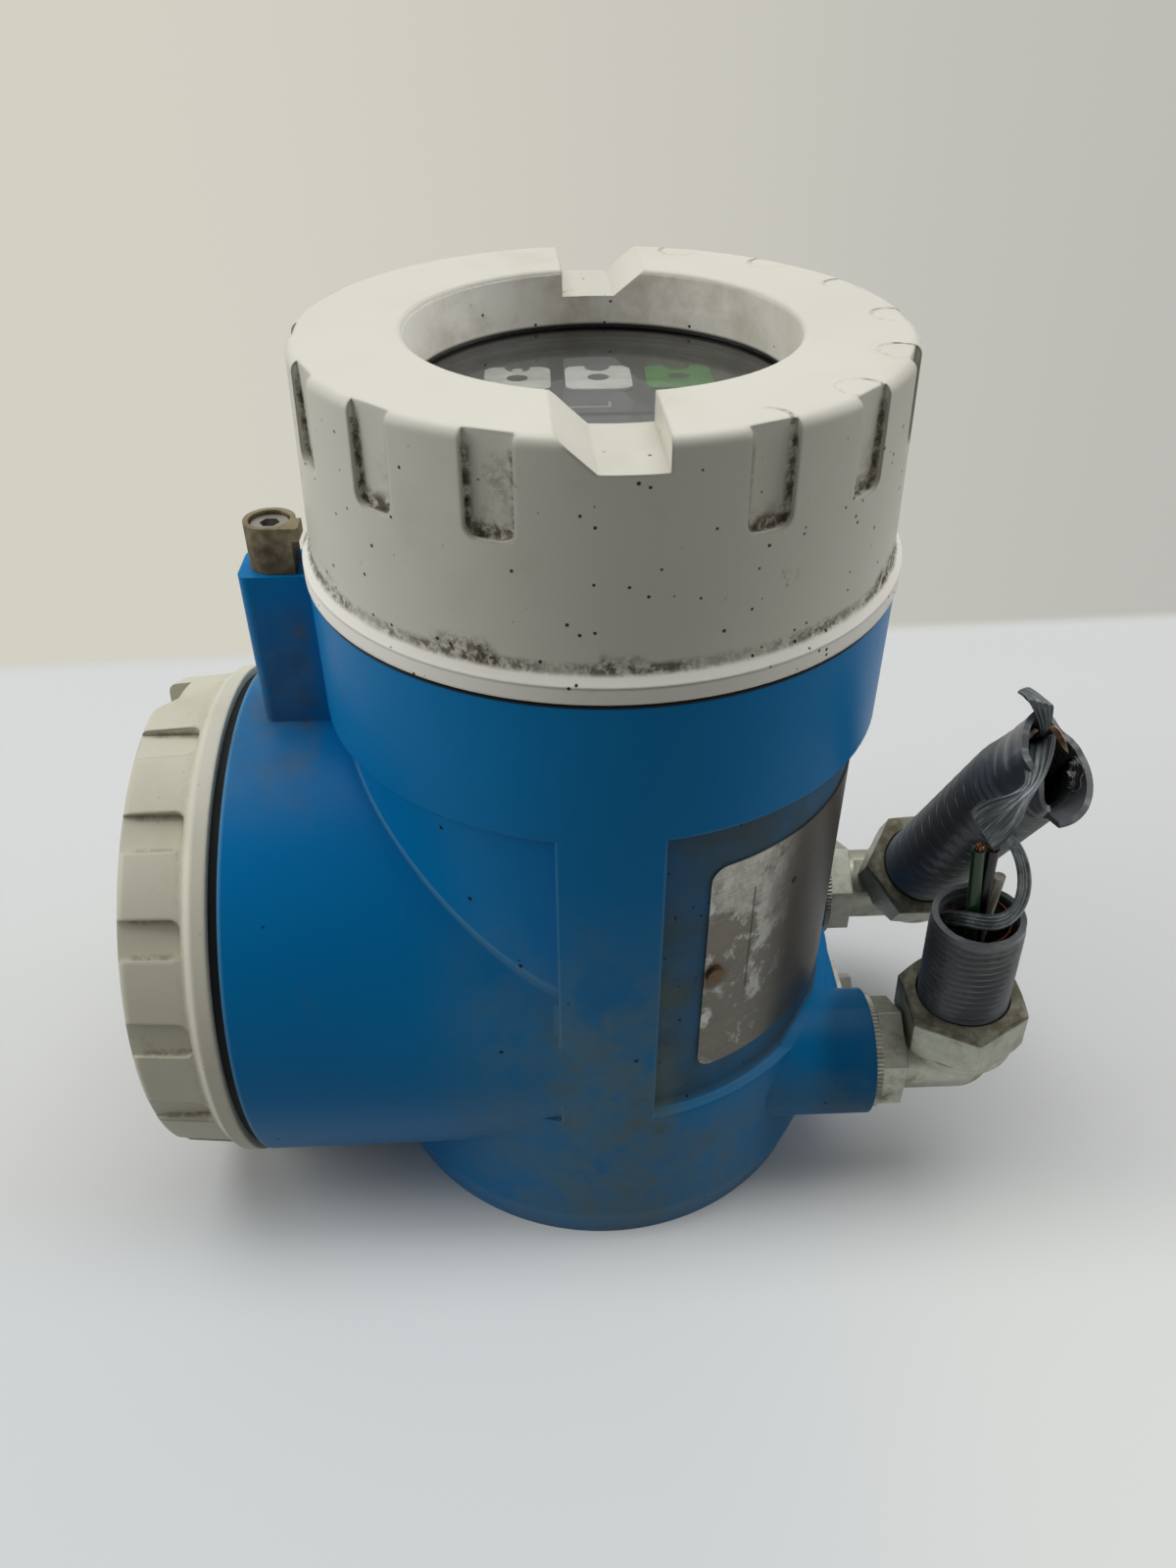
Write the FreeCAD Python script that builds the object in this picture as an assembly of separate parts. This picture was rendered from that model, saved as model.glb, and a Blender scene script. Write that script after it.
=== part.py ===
import FreeCAD, Part
import math
import os

os.makedirs("parts", exist_ok=True)
V = FreeCAD.Vector
CENTRE = V(0, 0, 0)
UP = V(0, 0, 1)

# Driving sizes in millimetres and degrees: housing casting
drum_r = 66.0
foot_in = 3.0
foot_h = 13.0
recess_depth = 4.0
recess_low = 53.0
recess_down = 34.0
band_half = 10.0
band_turn = -0.8
barrel_len = 23.0
barrel_over = 0.5
barrel_rise = 3.2
barrel_draft = 0.7
rim_wall = 8.0
thread_depth = 16.0
bay_wall = 10.0
bay_depth = 46.0
floor_t = 12.3
wiring_wall = 9.5
step_in = 24.0
inner_step = 7.0
inner_wall = 8.0
post_in = 26.0
post_out = 16.0
post_half = 7.0
post_drop = 3.5
boss_in = 4.325
boss_angle = 48.105
boss_r = 17.0
boss_out = 5.5
web_out = 2.0
entry_r = 10.0
neck_r = 34.0
neck_wall = 8.0
neck_out = 28.0
neck_depth = 22.0

# Fits
thread_clear = 0.1
turn_clear = 0.08
seat_clear = 0.1

# Screw covers
flange_over = 0.5
flange_t = 3.8
wall_in = 1.9
wall_rise = 2.2
wall_draft = 1.2
cover_wall = 3.4
collar_wall = 4.4
collar_len = 15.0
display_cover_h = 49.0
blind_cover_h = 21.4
window_in = 25.6
well_depth = 13.0
blind_well = 9.0
blind_t = 7.0
stations = 16
flute_w = 9.4
flute_depth = 1.5
flute_h = 19.0
blind_flute_h = 15.2
notch_w = 12.0
notch_depth = 6.0
notch_slope = 7.0
display_turn = 2.0
blind_turn = 103.1
display_seal_t = 0.5
blind_seal_t = 2.6
seal_in = 0.4

# Window and display, the display's layout as parts of its bezel's radius
glass_lap = 6.4
glass_t = 10.0
hub_wall = 4.0
ring_w = 5.3
ring_t = 5.0
bezel_gap = 1.5
bezel_drop = 2.0
bezel_t = 2.2
bezel_skirt = 12.0
lcd_wide = 1.25
lcd_deep = 0.6
lcd_down = 0.35
lcd_sink = 0.4
key_wide = 0.37
key_deep = 0.365
key_up = 0.455
key_step = 0.4525
key_t = 0.5
board_t = 1.6
board_span = 1.5
board_pitch = 18.0
holder_gap = 3.5
holder_drop = 3.5
holder_t = 3.0
holder_wall = 6.2
carrier_base = 4.0
carrier_post = 4.0
carrier_over = 6.0
feed_x = 10.0
feed_r = 8.0
feed_flange_r = 10.0
feed_len = 14.0

# Lock clamp and its screw
clamp_out = 8.0
clamp_r = 5.8
clamp_h = 11.0
nose_gap = 0.4
nose_t = 3.0
clamp_step = 1.8
lock_screw_r = 2.5
lock_head_r = 4.25
lock_head_h = 4.4
lock_sink = 5.7
lock_depth = 14.0

# Nameplate
plate_t = 0.5
plate_from = 20.0
plate_to = 140.0
plate_up = 11.3
plate_down = 14.2
plate_corner = 4.0
rivet_inset = 2.3
rivet_r = 1.2
rivet_head_r = 2.2
rivet_head_h = 1.1
rivet_depth = 3.0

# Earth terminal
earth_z = 27.0
earth_pad_r = 9.0
earth_pad_out = 4.5
earth_plate = 12.0
earth_plate_t = 2.5
earth_screw_r = 2.5
earth_head_af = 8.0
earth_head_h = 4.0
earth_depth = 7.0

# Cable fittings
seal_r = 15.5
seal_t = 2.2
nipple_len = 15.0
hex_corner_r = 14.8
hex_t = 6.8
body_r = 10.8
body_bore_r = 7.6
flange_ring_r = 15.2
leg_len = 6.5
leg_flange_t = 2.5
spigot_r = 13.3
spigot_len = 6.0
nut_corner_r = 17.4
nut_len = 13.5
nut_lip = 1.5
nut_gap = 0.4
front_reach = 25.5
front_lean = -2.8
front_roll = 0.0
rear_reach = 28.8
rear_lean = 1.4
rear_roll = 33.2

# Conduit stubs and wires
conduit_r = 11.9
jacket_t = 1.7
core_t = 1.0
ferrule_t = 1.1
ferrule_len = 12.0
front_end = 51.0
rear_end = 109.5
core_back = 2.0
lip_from = 46.0
lip_to = -84.0
lip_len = 3.4
lip_flare = 1.2
strip_t = 0.6
strip_w = 4.5
strip_pitch = 7.0
coil_turns = 2.6
coil_lean = 4.0
bond_w = 1.8
bond_turns = 1.3
bond_down = 10.0
wire_r = 1.6
wire_gap = 3.6
green_out = 23.0
black_out = 22.0
white_out = 15.0
elbow_bend = 14.0
wire_bend = 10.0
wire_sweep = 40.0
wire_drop = 22.0
wire_dip = 7.0

# Wiring compartment
carrier_t = 3.0
carrier_rise = 6.3
carrier_screw_r = 2.0
carrier_screw_len = 10.0
block_d = 16.0
block_h = 18.0
block_rise = 8.0
signal_y = -12.0
signal_w = 44.0
signal_ways = 8
power_y = 24.0
power_w = 18.0
power_ways = 3
terminal_screw_r = 1.8
terminal_screw_z = 13.0
terminal_screw_len = 6.0
hole_back = 6.0
hole_depth = 9.0

# Sizes that follow: casting
foot_r = drum_r - foot_in
recess_r = drum_r - recess_depth
side_rim_r = drum_r + barrel_over
side_rim_x = drum_r + barrel_len
side_z = side_rim_r + barrel_rise
thread_r = drum_r - rim_wall
bay_r = drum_r - bay_wall
wiring_r = side_rim_r - wiring_wall
wiring_step = drum_r - step_in
inner_r = wiring_r - inner_step
bay_floor = side_z + inner_r + floor_t
flange_z = bay_floor + bay_depth
drum_h = flange_z - display_seal_t
recess_high = flange_z - recess_down
post_x = drum_r + post_out
post_top = flange_z - post_drop
boss_y = (inner_r - boss_in) * math.sin(math.radians(boss_angle))
boss_z = side_z - (inner_r - boss_in) * math.cos(math.radians(boss_angle))
boss_x = drum_r + boss_out
earth_pad_x = drum_r + earth_pad_out
neck_y = drum_r + neck_out

# Sizes that follow: covers, window and display
station_angle = 360.0 / stations
flange_r = drum_r + flange_over
wall_low_r = flange_r - wall_in
wall_top_r = wall_low_r - wall_draft
flute_floor_r = wall_top_r - flute_depth
cover_in_r = flute_floor_r - cover_wall
window_r = drum_r - window_in
glass_r = window_r + glass_lap
collar_r = thread_r - thread_clear
collar_in_r = collar_r - collar_wall
hub_r = glass_r + seat_clear
glass_top = flange_z + display_cover_h - well_depth
glass_low = glass_top - glass_t
ring_in_r = glass_r - ring_w
bezel_r = ring_in_r - bezel_gap
bezel_top = glass_low - bezel_drop
bezel_low = bezel_top - bezel_skirt
key_w = key_wide * bezel_r
key_d = key_deep * bezel_r
holder_r = collar_in_r - holder_gap
holder_z = flange_z - holder_drop
board_w = board_span * bay_r

# Sizes that follow: clamp, nameplate, terminals and fittings
clamp_x = drum_r + clamp_out
clamp_nose = flange_r + nose_gap
lock_head_z = post_top + lock_sink
plate_low = recess_low + plate_up
plate_high = recess_high - plate_down
carrier_low = side_z + carrier_rise
block_z = carrier_low + block_rise
block_face = -wiring_step - carrier_t
hole_x = block_face - hole_back
collar_top = leg_len + leg_flange_t
leg_top = collar_top + spigot_len
core_r = conduit_r - jacket_t
core_in_r = core_r - core_t
front_corner_x = boss_x + front_reach
rear_corner_x = boss_x + rear_reach


def outline(points, flat=False):
    """Closed wire through (u, v) corners; a third value rounds that corner."""
    count = len(points)
    corners = []
    for u, v, *extra in points:
        corners.append(V(u, v, 0) if flat else V(u, 0, v))
    bends = []
    for i in range(count):
        here = corners[i]
        if len(points[i]) < 3:
            bends.append((here, None, here))
            continue
        radius = points[i][2]
        back = (corners[i - 1] - here).normalize()
        ahead = (corners[(i + 1) % count] - here).normalize()
        half = back.getAngle(ahead) / 2
        reach = radius / math.tan(half)
        inward = (back + ahead).normalize()
        middle = here + inward * (radius / math.sin(half) - radius)
        bends.append((here + back * reach, middle, here + ahead * reach))
    edges = []
    for i in range(count):
        start, middle, end = bends[i]
        if middle:
            edges.append(Part.Arc(start, middle, end).toShape())
        following = bends[(i + 1) % count][0]
        if end.distanceToPoint(following) > 1e-6:
            edges.append(Part.makeLine(end, following))
    return Part.Wire(edges)


def turned(points, angle=360):
    """Solid of revolution about Z from (radius, height) corners."""
    return Part.Face(outline(points)).revolve(CENTRE, UP, angle)


def sector(points, start, end):
    """Part turn from one angle to another, counted from the front towards +X."""
    solid = turned(points, end - start)
    return spun(solid, start - 90)


def plate(points, low, high):
    """Flat plate with an XY outline between two heights."""
    face = Part.Face(outline(points, flat=True))
    face.translate(V(0, 0, low))
    return face.extrude(V(0, 0, high - low))


def spun(shape, angle, axis=UP, centre=CENTRE):
    copy = shape.copy()
    copy.rotate(centre, axis, angle)
    return copy


def moved(shape, x, y, z):
    copy = shape.copy()
    copy.translate(V(x, y, z))
    return copy


def tube(inner, outer, low, high):
    solid = Part.makeCylinder(outer, high - low, V(0, 0, low))
    return solid.cut(Part.makeCylinder(inner, high - low, V(0, 0, low)))


def rod(radius, start, end):
    """Round bar between two points."""
    way = end - start
    return Part.makeCylinder(radius, way.Length, start, way)


def hexagon(corner_r, low, high, turn=0):
    points = []
    for k in range(6):
        angle = math.radians(60 * k + turn)
        points.append((corner_r * math.cos(angle), corner_r * math.sin(angle)))
    return plate(points, low, high)


def box(x, y, z):
    """Block from three (low, high) spans."""
    size = (x[1] - x[0], y[1] - y[0], z[1] - z[0])
    return Part.makeBox(*size, V(x[0], y[0], z[0]))


def join(shapes):
    return shapes[0].fuse(shapes[1:]).removeSplitter()


def group(shapes):
    return Part.makeCompound(shapes)


def export(node, shape):
    shape.exportStep("parts/" + node + ".step")


def on_side(shape):
    """Move a cover-side shape from its own +Z axis to the side compartment."""
    return moved(spun(shape, -90, V(0, 1, 0)), 0, 0, side_z)


def polar(radius, angle, z):
    """Point on the drum at an angle from the front towards +X."""
    turn = math.radians(angle)
    return V(radius * math.sin(turn), -radius * math.cos(turn), z)


# Housing
def drum():
    shell = turned([(0, 0), (foot_r, 0, 1.5), (drum_r, foot_h, 8), (drum_r, drum_h), (0, drum_h)])
    far = drum_r + 6
    face = [(recess_r, recess_low, 2), (far, recess_low), (far, recess_high), (recess_r, recess_high, 1.5)]
    right = sector(face, band_turn + band_half, 180 + band_turn - band_half)
    left = sector(face, 180 + band_turn + band_half, 360 + band_turn - band_half)
    return shell.cut([right, left])


def side_barrel():
    return on_side(Part.makeCone(side_rim_r - barrel_draft, side_rim_r, side_rim_x, CENTRE, UP))


def lock_post():
    width = post_half
    inner = drum_r - post_in
    points = [(-post_x, -width, 2.5), (-inner, -width), (-inner, width), (-post_x, width, 2.5)]
    return plate(points, side_z + inner_r, post_top)


def entry_boss(y):
    return rod(boss_r, V(boss_y, y, boss_z), V(boss_x, y, boss_z))


def entry_web():
    return box((boss_y, drum_r + web_out), (-boss_y, boss_y), (boss_z - boss_r, boss_z + boss_r / 3))


def earth_pad():
    return rod(earth_pad_r, V(boss_y, 0, earth_z), V(earth_pad_x + 1, 0, earth_z))


def neck():
    return rod(neck_r, V(0, boss_y, side_z), V(0, neck_y, side_z))


def display_bay():
    return turned([(0, bay_floor), (bay_r, bay_floor), (bay_r, drum_h - thread_depth),
                   (thread_r, drum_h - thread_depth), (thread_r, drum_h + 1), (0, drum_h + 1)])


def wiring_bay():
    mouth = on_side(turned([(0, wiring_step), (wiring_r, wiring_step), (wiring_r, side_rim_x - thread_depth),
                            (thread_r, side_rim_x - thread_depth), (thread_r, side_rim_x + 1),
                            (0, side_rim_x + 1)]))
    inner = Part.makeCylinder(inner_r, 2 * drum_r, V(-wiring_step, 0, side_z), V(1, 0, 0))
    inner = inner.common(Part.makeCylinder(drum_r - inner_wall, bay_floor))
    return [mouth, inner]


def rivet_spots():
    middle = (plate_low + plate_high) / 2
    return [(plate_from + rivet_inset, middle), (plate_to - rivet_inset, middle)]


def carrier_spots():
    reach = (wiring_r + inner_r) / 2
    spots = []
    for angle in (-50, 0, 50):
        turn = math.radians(angle)
        spots.append((reach * math.sin(turn), side_z + reach * math.cos(turn)))
    return spots


def feed_spot():
    return V(feed_x, 0, bay_floor)


def housing():
    solid = join([drum(), side_barrel(), lock_post(), entry_boss(-boss_y), entry_boss(boss_y), entry_web(),
                  earth_pad(), neck()])
    cuts = [display_bay()] + wiring_bay()
    lock_low = V(-clamp_x, 0, post_top - lock_depth - 1)
    earth_face = V(earth_pad_x, 0, earth_z)
    for y in (-boss_y, boss_y):
        cuts.append(rod(entry_r, V(0, y, boss_z), V(boss_x + 1, y, boss_z)))
    cuts.append(rod(neck_r - neck_wall, V(0, neck_y - neck_depth, side_z), V(0, neck_y + 1, side_z)))
    cuts.append(rod(lock_screw_r + thread_clear, lock_low, lock_low + V(0, 0, lock_depth + 2)))
    cuts.append(rod(earth_screw_r + thread_clear, earth_face - V(earth_depth + 1, 0, 0), earth_face + V(2, 0, 0)))
    between = boss_y - boss_r
    cuts.append(box((earth_pad_x, boss_x + 1), (-between, between), (0, boss_z + boss_r)))
    for angle, z in rivet_spots():
        cuts.append(rod(rivet_r, polar(recess_r - rivet_depth, angle, z), polar(drum_r, angle, z)))
    for y, z in carrier_spots():
        cuts.append(rod(carrier_screw_r, V(-wiring_step - 1, y, z), V(carrier_screw_len - wiring_step, y, z)))
    feed = feed_spot()
    cuts.append(rod(feed_r, feed - V(0, 0, 2 * floor_t), feed + V(0, 0, 1)))
    return solid.cut(cuts)


# Screw covers
def grip(cover, top, depth, turn):
    """Cut the finger flutes and the two opposite tool notches of a cover."""
    low = top - depth
    half = flute_w / 2
    flute = Part.Face(outline([(-half, low, 2.5), (half, low, 2.5), (half, top + 1), (-half, top + 1)]))
    flute = moved(flute, 0, -flute_floor_r, 0).extrude(V(0, -12, 0))
    side = notch_w / 2
    floor = top - notch_depth
    lift = notch_slope * (notch_depth + 1) / notch_depth
    notch = Part.Face(outline([(-side, floor), (side, floor), (side, top + 1), (-side - lift, top + 1)]))
    notch = moved(notch, 0, -window_r + 6, 0).extrude(V(0, -40, 0))
    cutters = []
    for k in range(stations):
        cutter = notch if k % (stations // 2) == 0 else flute
        cutters.append(spun(cutter, turn + k * station_angle))
    return cover.cut(cutters)


def cover_outside(top):
    """Outside of a cover from its collar to the inner edge of its rim."""
    return [(collar_in_r, -collar_len), (collar_r, -collar_len), (collar_r, 0), (flange_r, 0),
            (flange_r, flange_t, 0.8), (wall_low_r, flange_t + wall_rise, 1), (wall_top_r, top, 2.2),
            (window_r, top, 1.2)]


def display_cover():
    top = display_cover_h
    seat = top - well_depth
    hub_low = seat - glass_t - ring_t - 1
    hub_out = hub_r + hub_wall
    inside = [(window_r, seat), (hub_r, seat), (hub_r, hub_low), (hub_out, hub_low), (hub_out, seat),
              (cover_in_r, seat), (cover_in_r, 3 * flange_t), (collar_in_r, flange_t)]
    cover = grip(turned(cover_outside(top) + inside), top, flute_h, display_turn)
    return moved(cover, 0, 0, flange_z)


def terminal_cover():
    top = blind_cover_h
    face = top - blind_well
    back = face - blind_t
    inside = [(window_r, face), (0, face), (0, back), (window_r, back), (window_r + blind_t, face),
              (cover_in_r, face), (cover_in_r, back), (collar_in_r, flange_t)]
    cover = grip(turned(cover_outside(top) + inside), top, blind_flute_h, blind_turn)
    return on_side(moved(cover, 0, 0, side_rim_x + blind_seal_t))


def window_glass():
    return Part.makeCylinder(glass_r, glass_t, V(0, 0, glass_low))


def window_ring():
    return tube(ring_in_r, hub_r, glass_low - ring_t, glass_low)


def display_seal():
    return tube(thread_r + seal_in, wall_top_r, drum_h, flange_z)


def terminal_seal():
    return on_side(tube(thread_r + seal_in, wall_low_r, side_rim_x, side_rim_x + blind_seal_t))


# Display and electronics
def lcd_window(clear):
    half_w = lcd_wide * bezel_r / 2 + clear
    half_d = lcd_deep * bezel_r / 2 + clear
    y = -lcd_down * bezel_r
    return (-half_w, half_w), (y - half_d, y + half_d)


def display_bezel():
    top = bezel_top
    inner = bezel_r - bezel_t
    cup = turned([(0, top - bezel_t), (inner, top - bezel_t), (inner, bezel_low), (bezel_r, bezel_low),
                  (bezel_r, top, 0.8), (0, top)])
    x, y = lcd_window(seat_clear)
    return cup.cut(box(x, y, (top - bezel_t - 1, top + 1)))


def display_board():
    return Part.makeCylinder(bezel_r - bezel_t - seat_clear, board_t, V(0, 0, bezel_low))


def display_lcd():
    x, y = lcd_window(0)
    return box(x, y, (bezel_low + board_t, bezel_top - lcd_sink))


def key_pad(k):
    half = key_w / 2
    points = []
    for u, v in ((-half, 0), (half, 0), (half, key_d), (-half, key_d)):
        points.append((u + k * key_step * bezel_r, v + key_up * bezel_r - key_d / 2, 2.5))
    return plate(points, bezel_top, bezel_top + key_t)


def display_holder():
    foot = Part.makeCylinder(holder_r, holder_t, V(0, 0, holder_z))
    wall = tube(bezel_r - holder_wall, bezel_r, holder_z + holder_t, bezel_low)
    return join([foot, wall])


def electronics_board(k):
    y = k * board_pitch
    low = bay_floor + carrier_base
    return box((-board_w / 2, board_w / 2), (y - board_t / 2, y + board_t / 2), (low, holder_z))


def board_carrier():
    base = Part.makeCylinder(holder_r, carrier_base, V(0, 0, bay_floor))
    posts = []
    reach = board_pitch + carrier_over
    for x in (-board_w / 2 - carrier_post, board_w / 2):
        posts.append(box((x, x + carrier_post), (-reach, reach), (bay_floor + carrier_base, holder_z)))
    feed = feed_spot()
    return join([base] + posts).cut(rod(feed_flange_r + seat_clear, feed, feed + V(0, 0, carrier_base + 1)))


def feed_through():
    feed = feed_spot()
    stem = rod(feed_r - seat_clear, feed - V(0, 0, feed_len), feed)
    cap = rod(feed_flange_r, feed, feed + V(0, 0, carrier_base))
    return join([stem, cap])


# Wiring compartment
def terminal_carrier():
    disc = Part.makeCylinder(wiring_r - seat_clear, carrier_t, V(-wiring_step, 0, side_z), V(-1, 0, 0))
    keep = box((block_face - 1, 0), (-drum_r, drum_r), (carrier_low, 2 * drum_r))
    cuts = []
    for y, z in carrier_spots():
        cuts.append(rod(carrier_screw_r + 0.2, V(block_face - 1, y, z), V(-wiring_step, y, z)))
    return disc.common(keep).cut(cuts)


def way_centres(y, width, ways):
    return [y + width * ((k + 0.5) / ways - 0.5) for k in range(ways)]


def terminal_block(y, width, ways):
    """Row of wire clamps hanging on the carrier, wires from below and screws in front."""
    face = block_face - block_d
    block = box((face, block_face), (y - width / 2, y + width / 2), (block_z, block_z + block_h))
    cuts = []
    for middle in way_centres(y, width, ways):
        cuts.append(rod(wire_r + 0.3, V(hole_x, middle, block_z - 1), V(hole_x, middle, block_z + hole_depth)))
        screw = V(face, middle, block_z + terminal_screw_z)
        cuts.append(rod(terminal_screw_r, screw - V(1, 0, 0), screw + V(terminal_screw_len, 0, 0)))
    return block.cut(cuts)


def block_screws(y, width, ways):
    face = block_face - block_d
    screws = []
    for middle in way_centres(y, width, ways):
        screw = V(face, middle, block_z + terminal_screw_z)
        screws.append(rod(terminal_screw_r, screw + V(1.5, 0, 0), screw + V(terminal_screw_len, 0, 0)))
    return screws


def carrier_screws():
    screws = []
    for y, z in carrier_spots():
        face = V(block_face, y, z)
        shank = rod(carrier_screw_r, face, face + V(carrier_screw_len, 0, 0))
        head = rod(1.6 * carrier_screw_r, face - V(2, 0, 0), face)
        screws.append(join([shank, head]))
    return group(screws)


# Lock clamp
def lock_clamp():
    reach = clamp_x - clamp_nose
    near = [(-clamp_r, -clamp_r, clamp_r - 0.2), (reach, -clamp_r, 0.8), (reach, 0), (0, 0), (0, clamp_r),
            (-clamp_r, clamp_r, clamp_r - 0.2)]
    top = post_top + clamp_h
    body = join([plate(near, post_top, top), Part.makeCylinder(clamp_r, clamp_h, V(0, 0, post_top))])
    step = box((reach - clamp_step, reach + 2), (-20, 20), (post_top - 1, top - nose_t))
    hole = Part.makeCylinder(lock_screw_r + turn_clear, clamp_h + 2, V(0, 0, post_top - 1))
    sink = Part.makeCylinder(lock_head_r + 0.4, clamp_h, V(0, 0, lock_head_z))
    return moved(body.cut([step, hole, sink]), -clamp_x, 0, 0)


def lock_screw():
    shank = rod(lock_screw_r, V(0, 0, post_top - lock_depth), V(0, 0, lock_head_z))
    head = Part.makeCylinder(lock_head_r, lock_head_h, V(0, 0, lock_head_z))
    socket = hexagon(2.3, lock_head_z + lock_head_h - 2.5, lock_head_z + lock_head_h + 1)
    return moved(join([shank, head]).cut(socket), -clamp_x, 0, 0)


# Nameplate
def nameplate():
    inner = recess_r + seat_clear
    outer = recess_r + plate_t
    curve = [(inner, plate_low), (outer, plate_low), (outer, plate_high), (inner, plate_high)]
    solid = sector(curve, plate_from, plate_to)
    arc = math.degrees(plate_corner / recess_r)
    cuts = []
    for angle, side in ((plate_from + arc, -1), (plate_to - arc, 1)):
        for z, rise in ((plate_low + plate_corner, -1), (plate_high - plate_corner, 1)):
            spans = [sorted((0, side * (plate_corner + 1))), sorted((0, rise * (plate_corner + 1)))]
            block = box(spans[0], (-drum_r, -recess_r + 3), spans[1])
            block = block.cut(rod(plate_corner, V(0, -drum_r - 1, 0), V(0, -recess_r + 4, 0)))
            cuts.append(moved(spun(block, angle), 0, 0, z))
    for angle, z in rivet_spots():
        cuts.append(rod(rivet_r, polar(recess_r - 1, angle, z), polar(drum_r, angle, z)))
    return solid.cut(cuts)


def nameplate_rivets():
    rivets = []
    for angle, z in rivet_spots():
        face = recess_r + plate_t
        shank = rod(rivet_r, polar(recess_r - rivet_depth, angle, z), polar(face, angle, z))
        head = rod(rivet_head_r, polar(face, angle, z), polar(face + rivet_head_h, angle, z))
        rivets.append(join([shank, head]))
    return group(rivets)


# Earth terminal
def earth_clamp():
    half = earth_plate / 2
    pad = box((earth_pad_x, earth_pad_x + earth_plate_t), (-half, half), (earth_z - half, earth_z + half))
    return pad.cut(rod(earth_screw_r + 0.2, V(earth_pad_x - 1, 0, earth_z), V(earth_pad_x + earth_plate, 0, earth_z)))


def earth_screw():
    face = earth_pad_x + earth_plate_t
    shank = rod(earth_screw_r, V(earth_pad_x - earth_depth, 0, earth_z), V(face, 0, earth_z))
    head = hexagon(earth_head_af / math.sqrt(3), 0, earth_head_h)
    head = moved(spun(head, 90, V(0, 1, 0)), face, 0, earth_z)
    return join([shank, head])


# Cable fittings, made along +Z from the elbow corner and then laid into place
def along(shape, corner_x, y, lean, roll):
    """Lay a fitting part from its own +Z axis onto the leg of an elbow."""
    leaning = spun(shape, lean, V(0, 1, 0))
    return moved(spun(leaning, roll, V(1, 0, 0)), corner_x, y, boss_z)


def entry_seals():
    rings = []
    for y in (-boss_y, boss_y):
        ring = tube(entry_r + 0.2, seal_r, boss_x, boss_x + seal_t)
        rings.append(moved(spun(ring, 90, V(0, 1, 0)), 0, y, boss_z))
    return group(rings)


def connector(corner_x, y, lean, roll):
    hex_x = boss_x + seal_t
    nipple = rod(entry_r - thread_clear, V(boss_x - nipple_len, y, boss_z), V(hex_x, y, boss_z))
    shoulder = moved(spun(hexagon(hex_corner_r, hex_x, hex_x + hex_t), 90, V(0, 1, 0)), 0, y, boss_z)
    arm = rod(body_r, V(hex_x, y, boss_z), V(corner_x, y, boss_z))
    knee = Part.makeSphere(body_r, V(corner_x, y, boss_z))
    seat = Part.makeCylinder(nut_corner_r + 1, nut_len, V(0, 0, collar_top))
    elbow = join([arm, knee]).cut(along(seat, corner_x, y, lean, roll))
    leg = join([Part.makeCylinder(body_r, collar_top),
                Part.makeCylinder(flange_ring_r, leg_flange_t, V(0, 0, leg_len)),
                Part.makeCylinder(spigot_r, spigot_len, V(0, 0, collar_top))])
    solid = join([nipple, shoulder, elbow, along(leg, corner_x, y, lean, roll)])
    way = rod(body_bore_r, V(boss_x - nipple_len - 1, y, boss_z), V(corner_x, y, boss_z))
    bend = Part.makeSphere(body_bore_r, V(corner_x, y, boss_z))
    rise = along(Part.makeCylinder(body_bore_r, leg_top + 1), corner_x, y, lean, roll)
    return solid.cut([way, bend, rise])


def nut(turn):
    low = collar_top
    high = low + nut_len
    shell = hexagon(nut_corner_r, low, high, turn)
    ball = turned([(0, low), (nut_corner_r - 1.2, low), (nut_corner_r + 1, low + 2.5),
                   (nut_corner_r + 1, high - 2.5), (nut_corner_r - 2.2, high), (0, high)])
    inner = Part.makeCylinder(spigot_r + seat_clear, nut_len - nut_lip, V(0, 0, low))
    mouth = Part.makeCylinder(conduit_r + nut_gap, nut_len + 2, V(0, 0, low - 1))
    return shell.common(ball).cut([inner, mouth])


def gland_ring():
    return tube(conduit_r, spigot_r, leg_top, collar_top + nut_len - nut_lip)


def jacket(end):
    return tube(core_r, conduit_r, leg_top, end)


def core(end):
    return tube(core_in_r, core_r, leg_top, end)


def ferrule():
    return tube(core_in_r - ferrule_t, core_in_r, leg_top, leg_top + ferrule_len)


def ribbon(rows):
    """Bent strip through rows of (centre, half width, half thickness) vectors."""
    wires = []
    for middle, across, thick in rows:
        corners = [middle - across - thick, middle + across - thick, middle + across + thick,
                   middle - across + thick]
        wires.append(Part.makePolygon(corners + corners[:1]))
    return Part.makeLoft(wires, True, True)


def loose_coil(base, radius, turns, width):
    """Strip that has sprung out of the conduit mouth as an open, leaning coil."""
    rows = []
    for i in range(int(24 * turns) + 1):
        angle = math.radians(15 * i)
        out = V(math.cos(angle), math.sin(angle), 0)
        height = base + strip_pitch * i / 24 + coil_lean * (1 - math.cos(angle)) / 2 * min(1, i / 12)
        rows.append((out * radius + V(0, 0, height), V(0, 0, width / 2), out * (strip_t / 2)))
    return ribbon(rows)


def front_core():
    end = front_end - core_back
    coil = loose_coil(end - core_back - strip_t, core_in_r, coil_turns, strip_w)
    return join([core(end), coil])


def front_bond():
    return loose_coil(front_end - bond_down, core_in_r - strip_t - seat_clear, bond_turns, bond_w)


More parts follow.
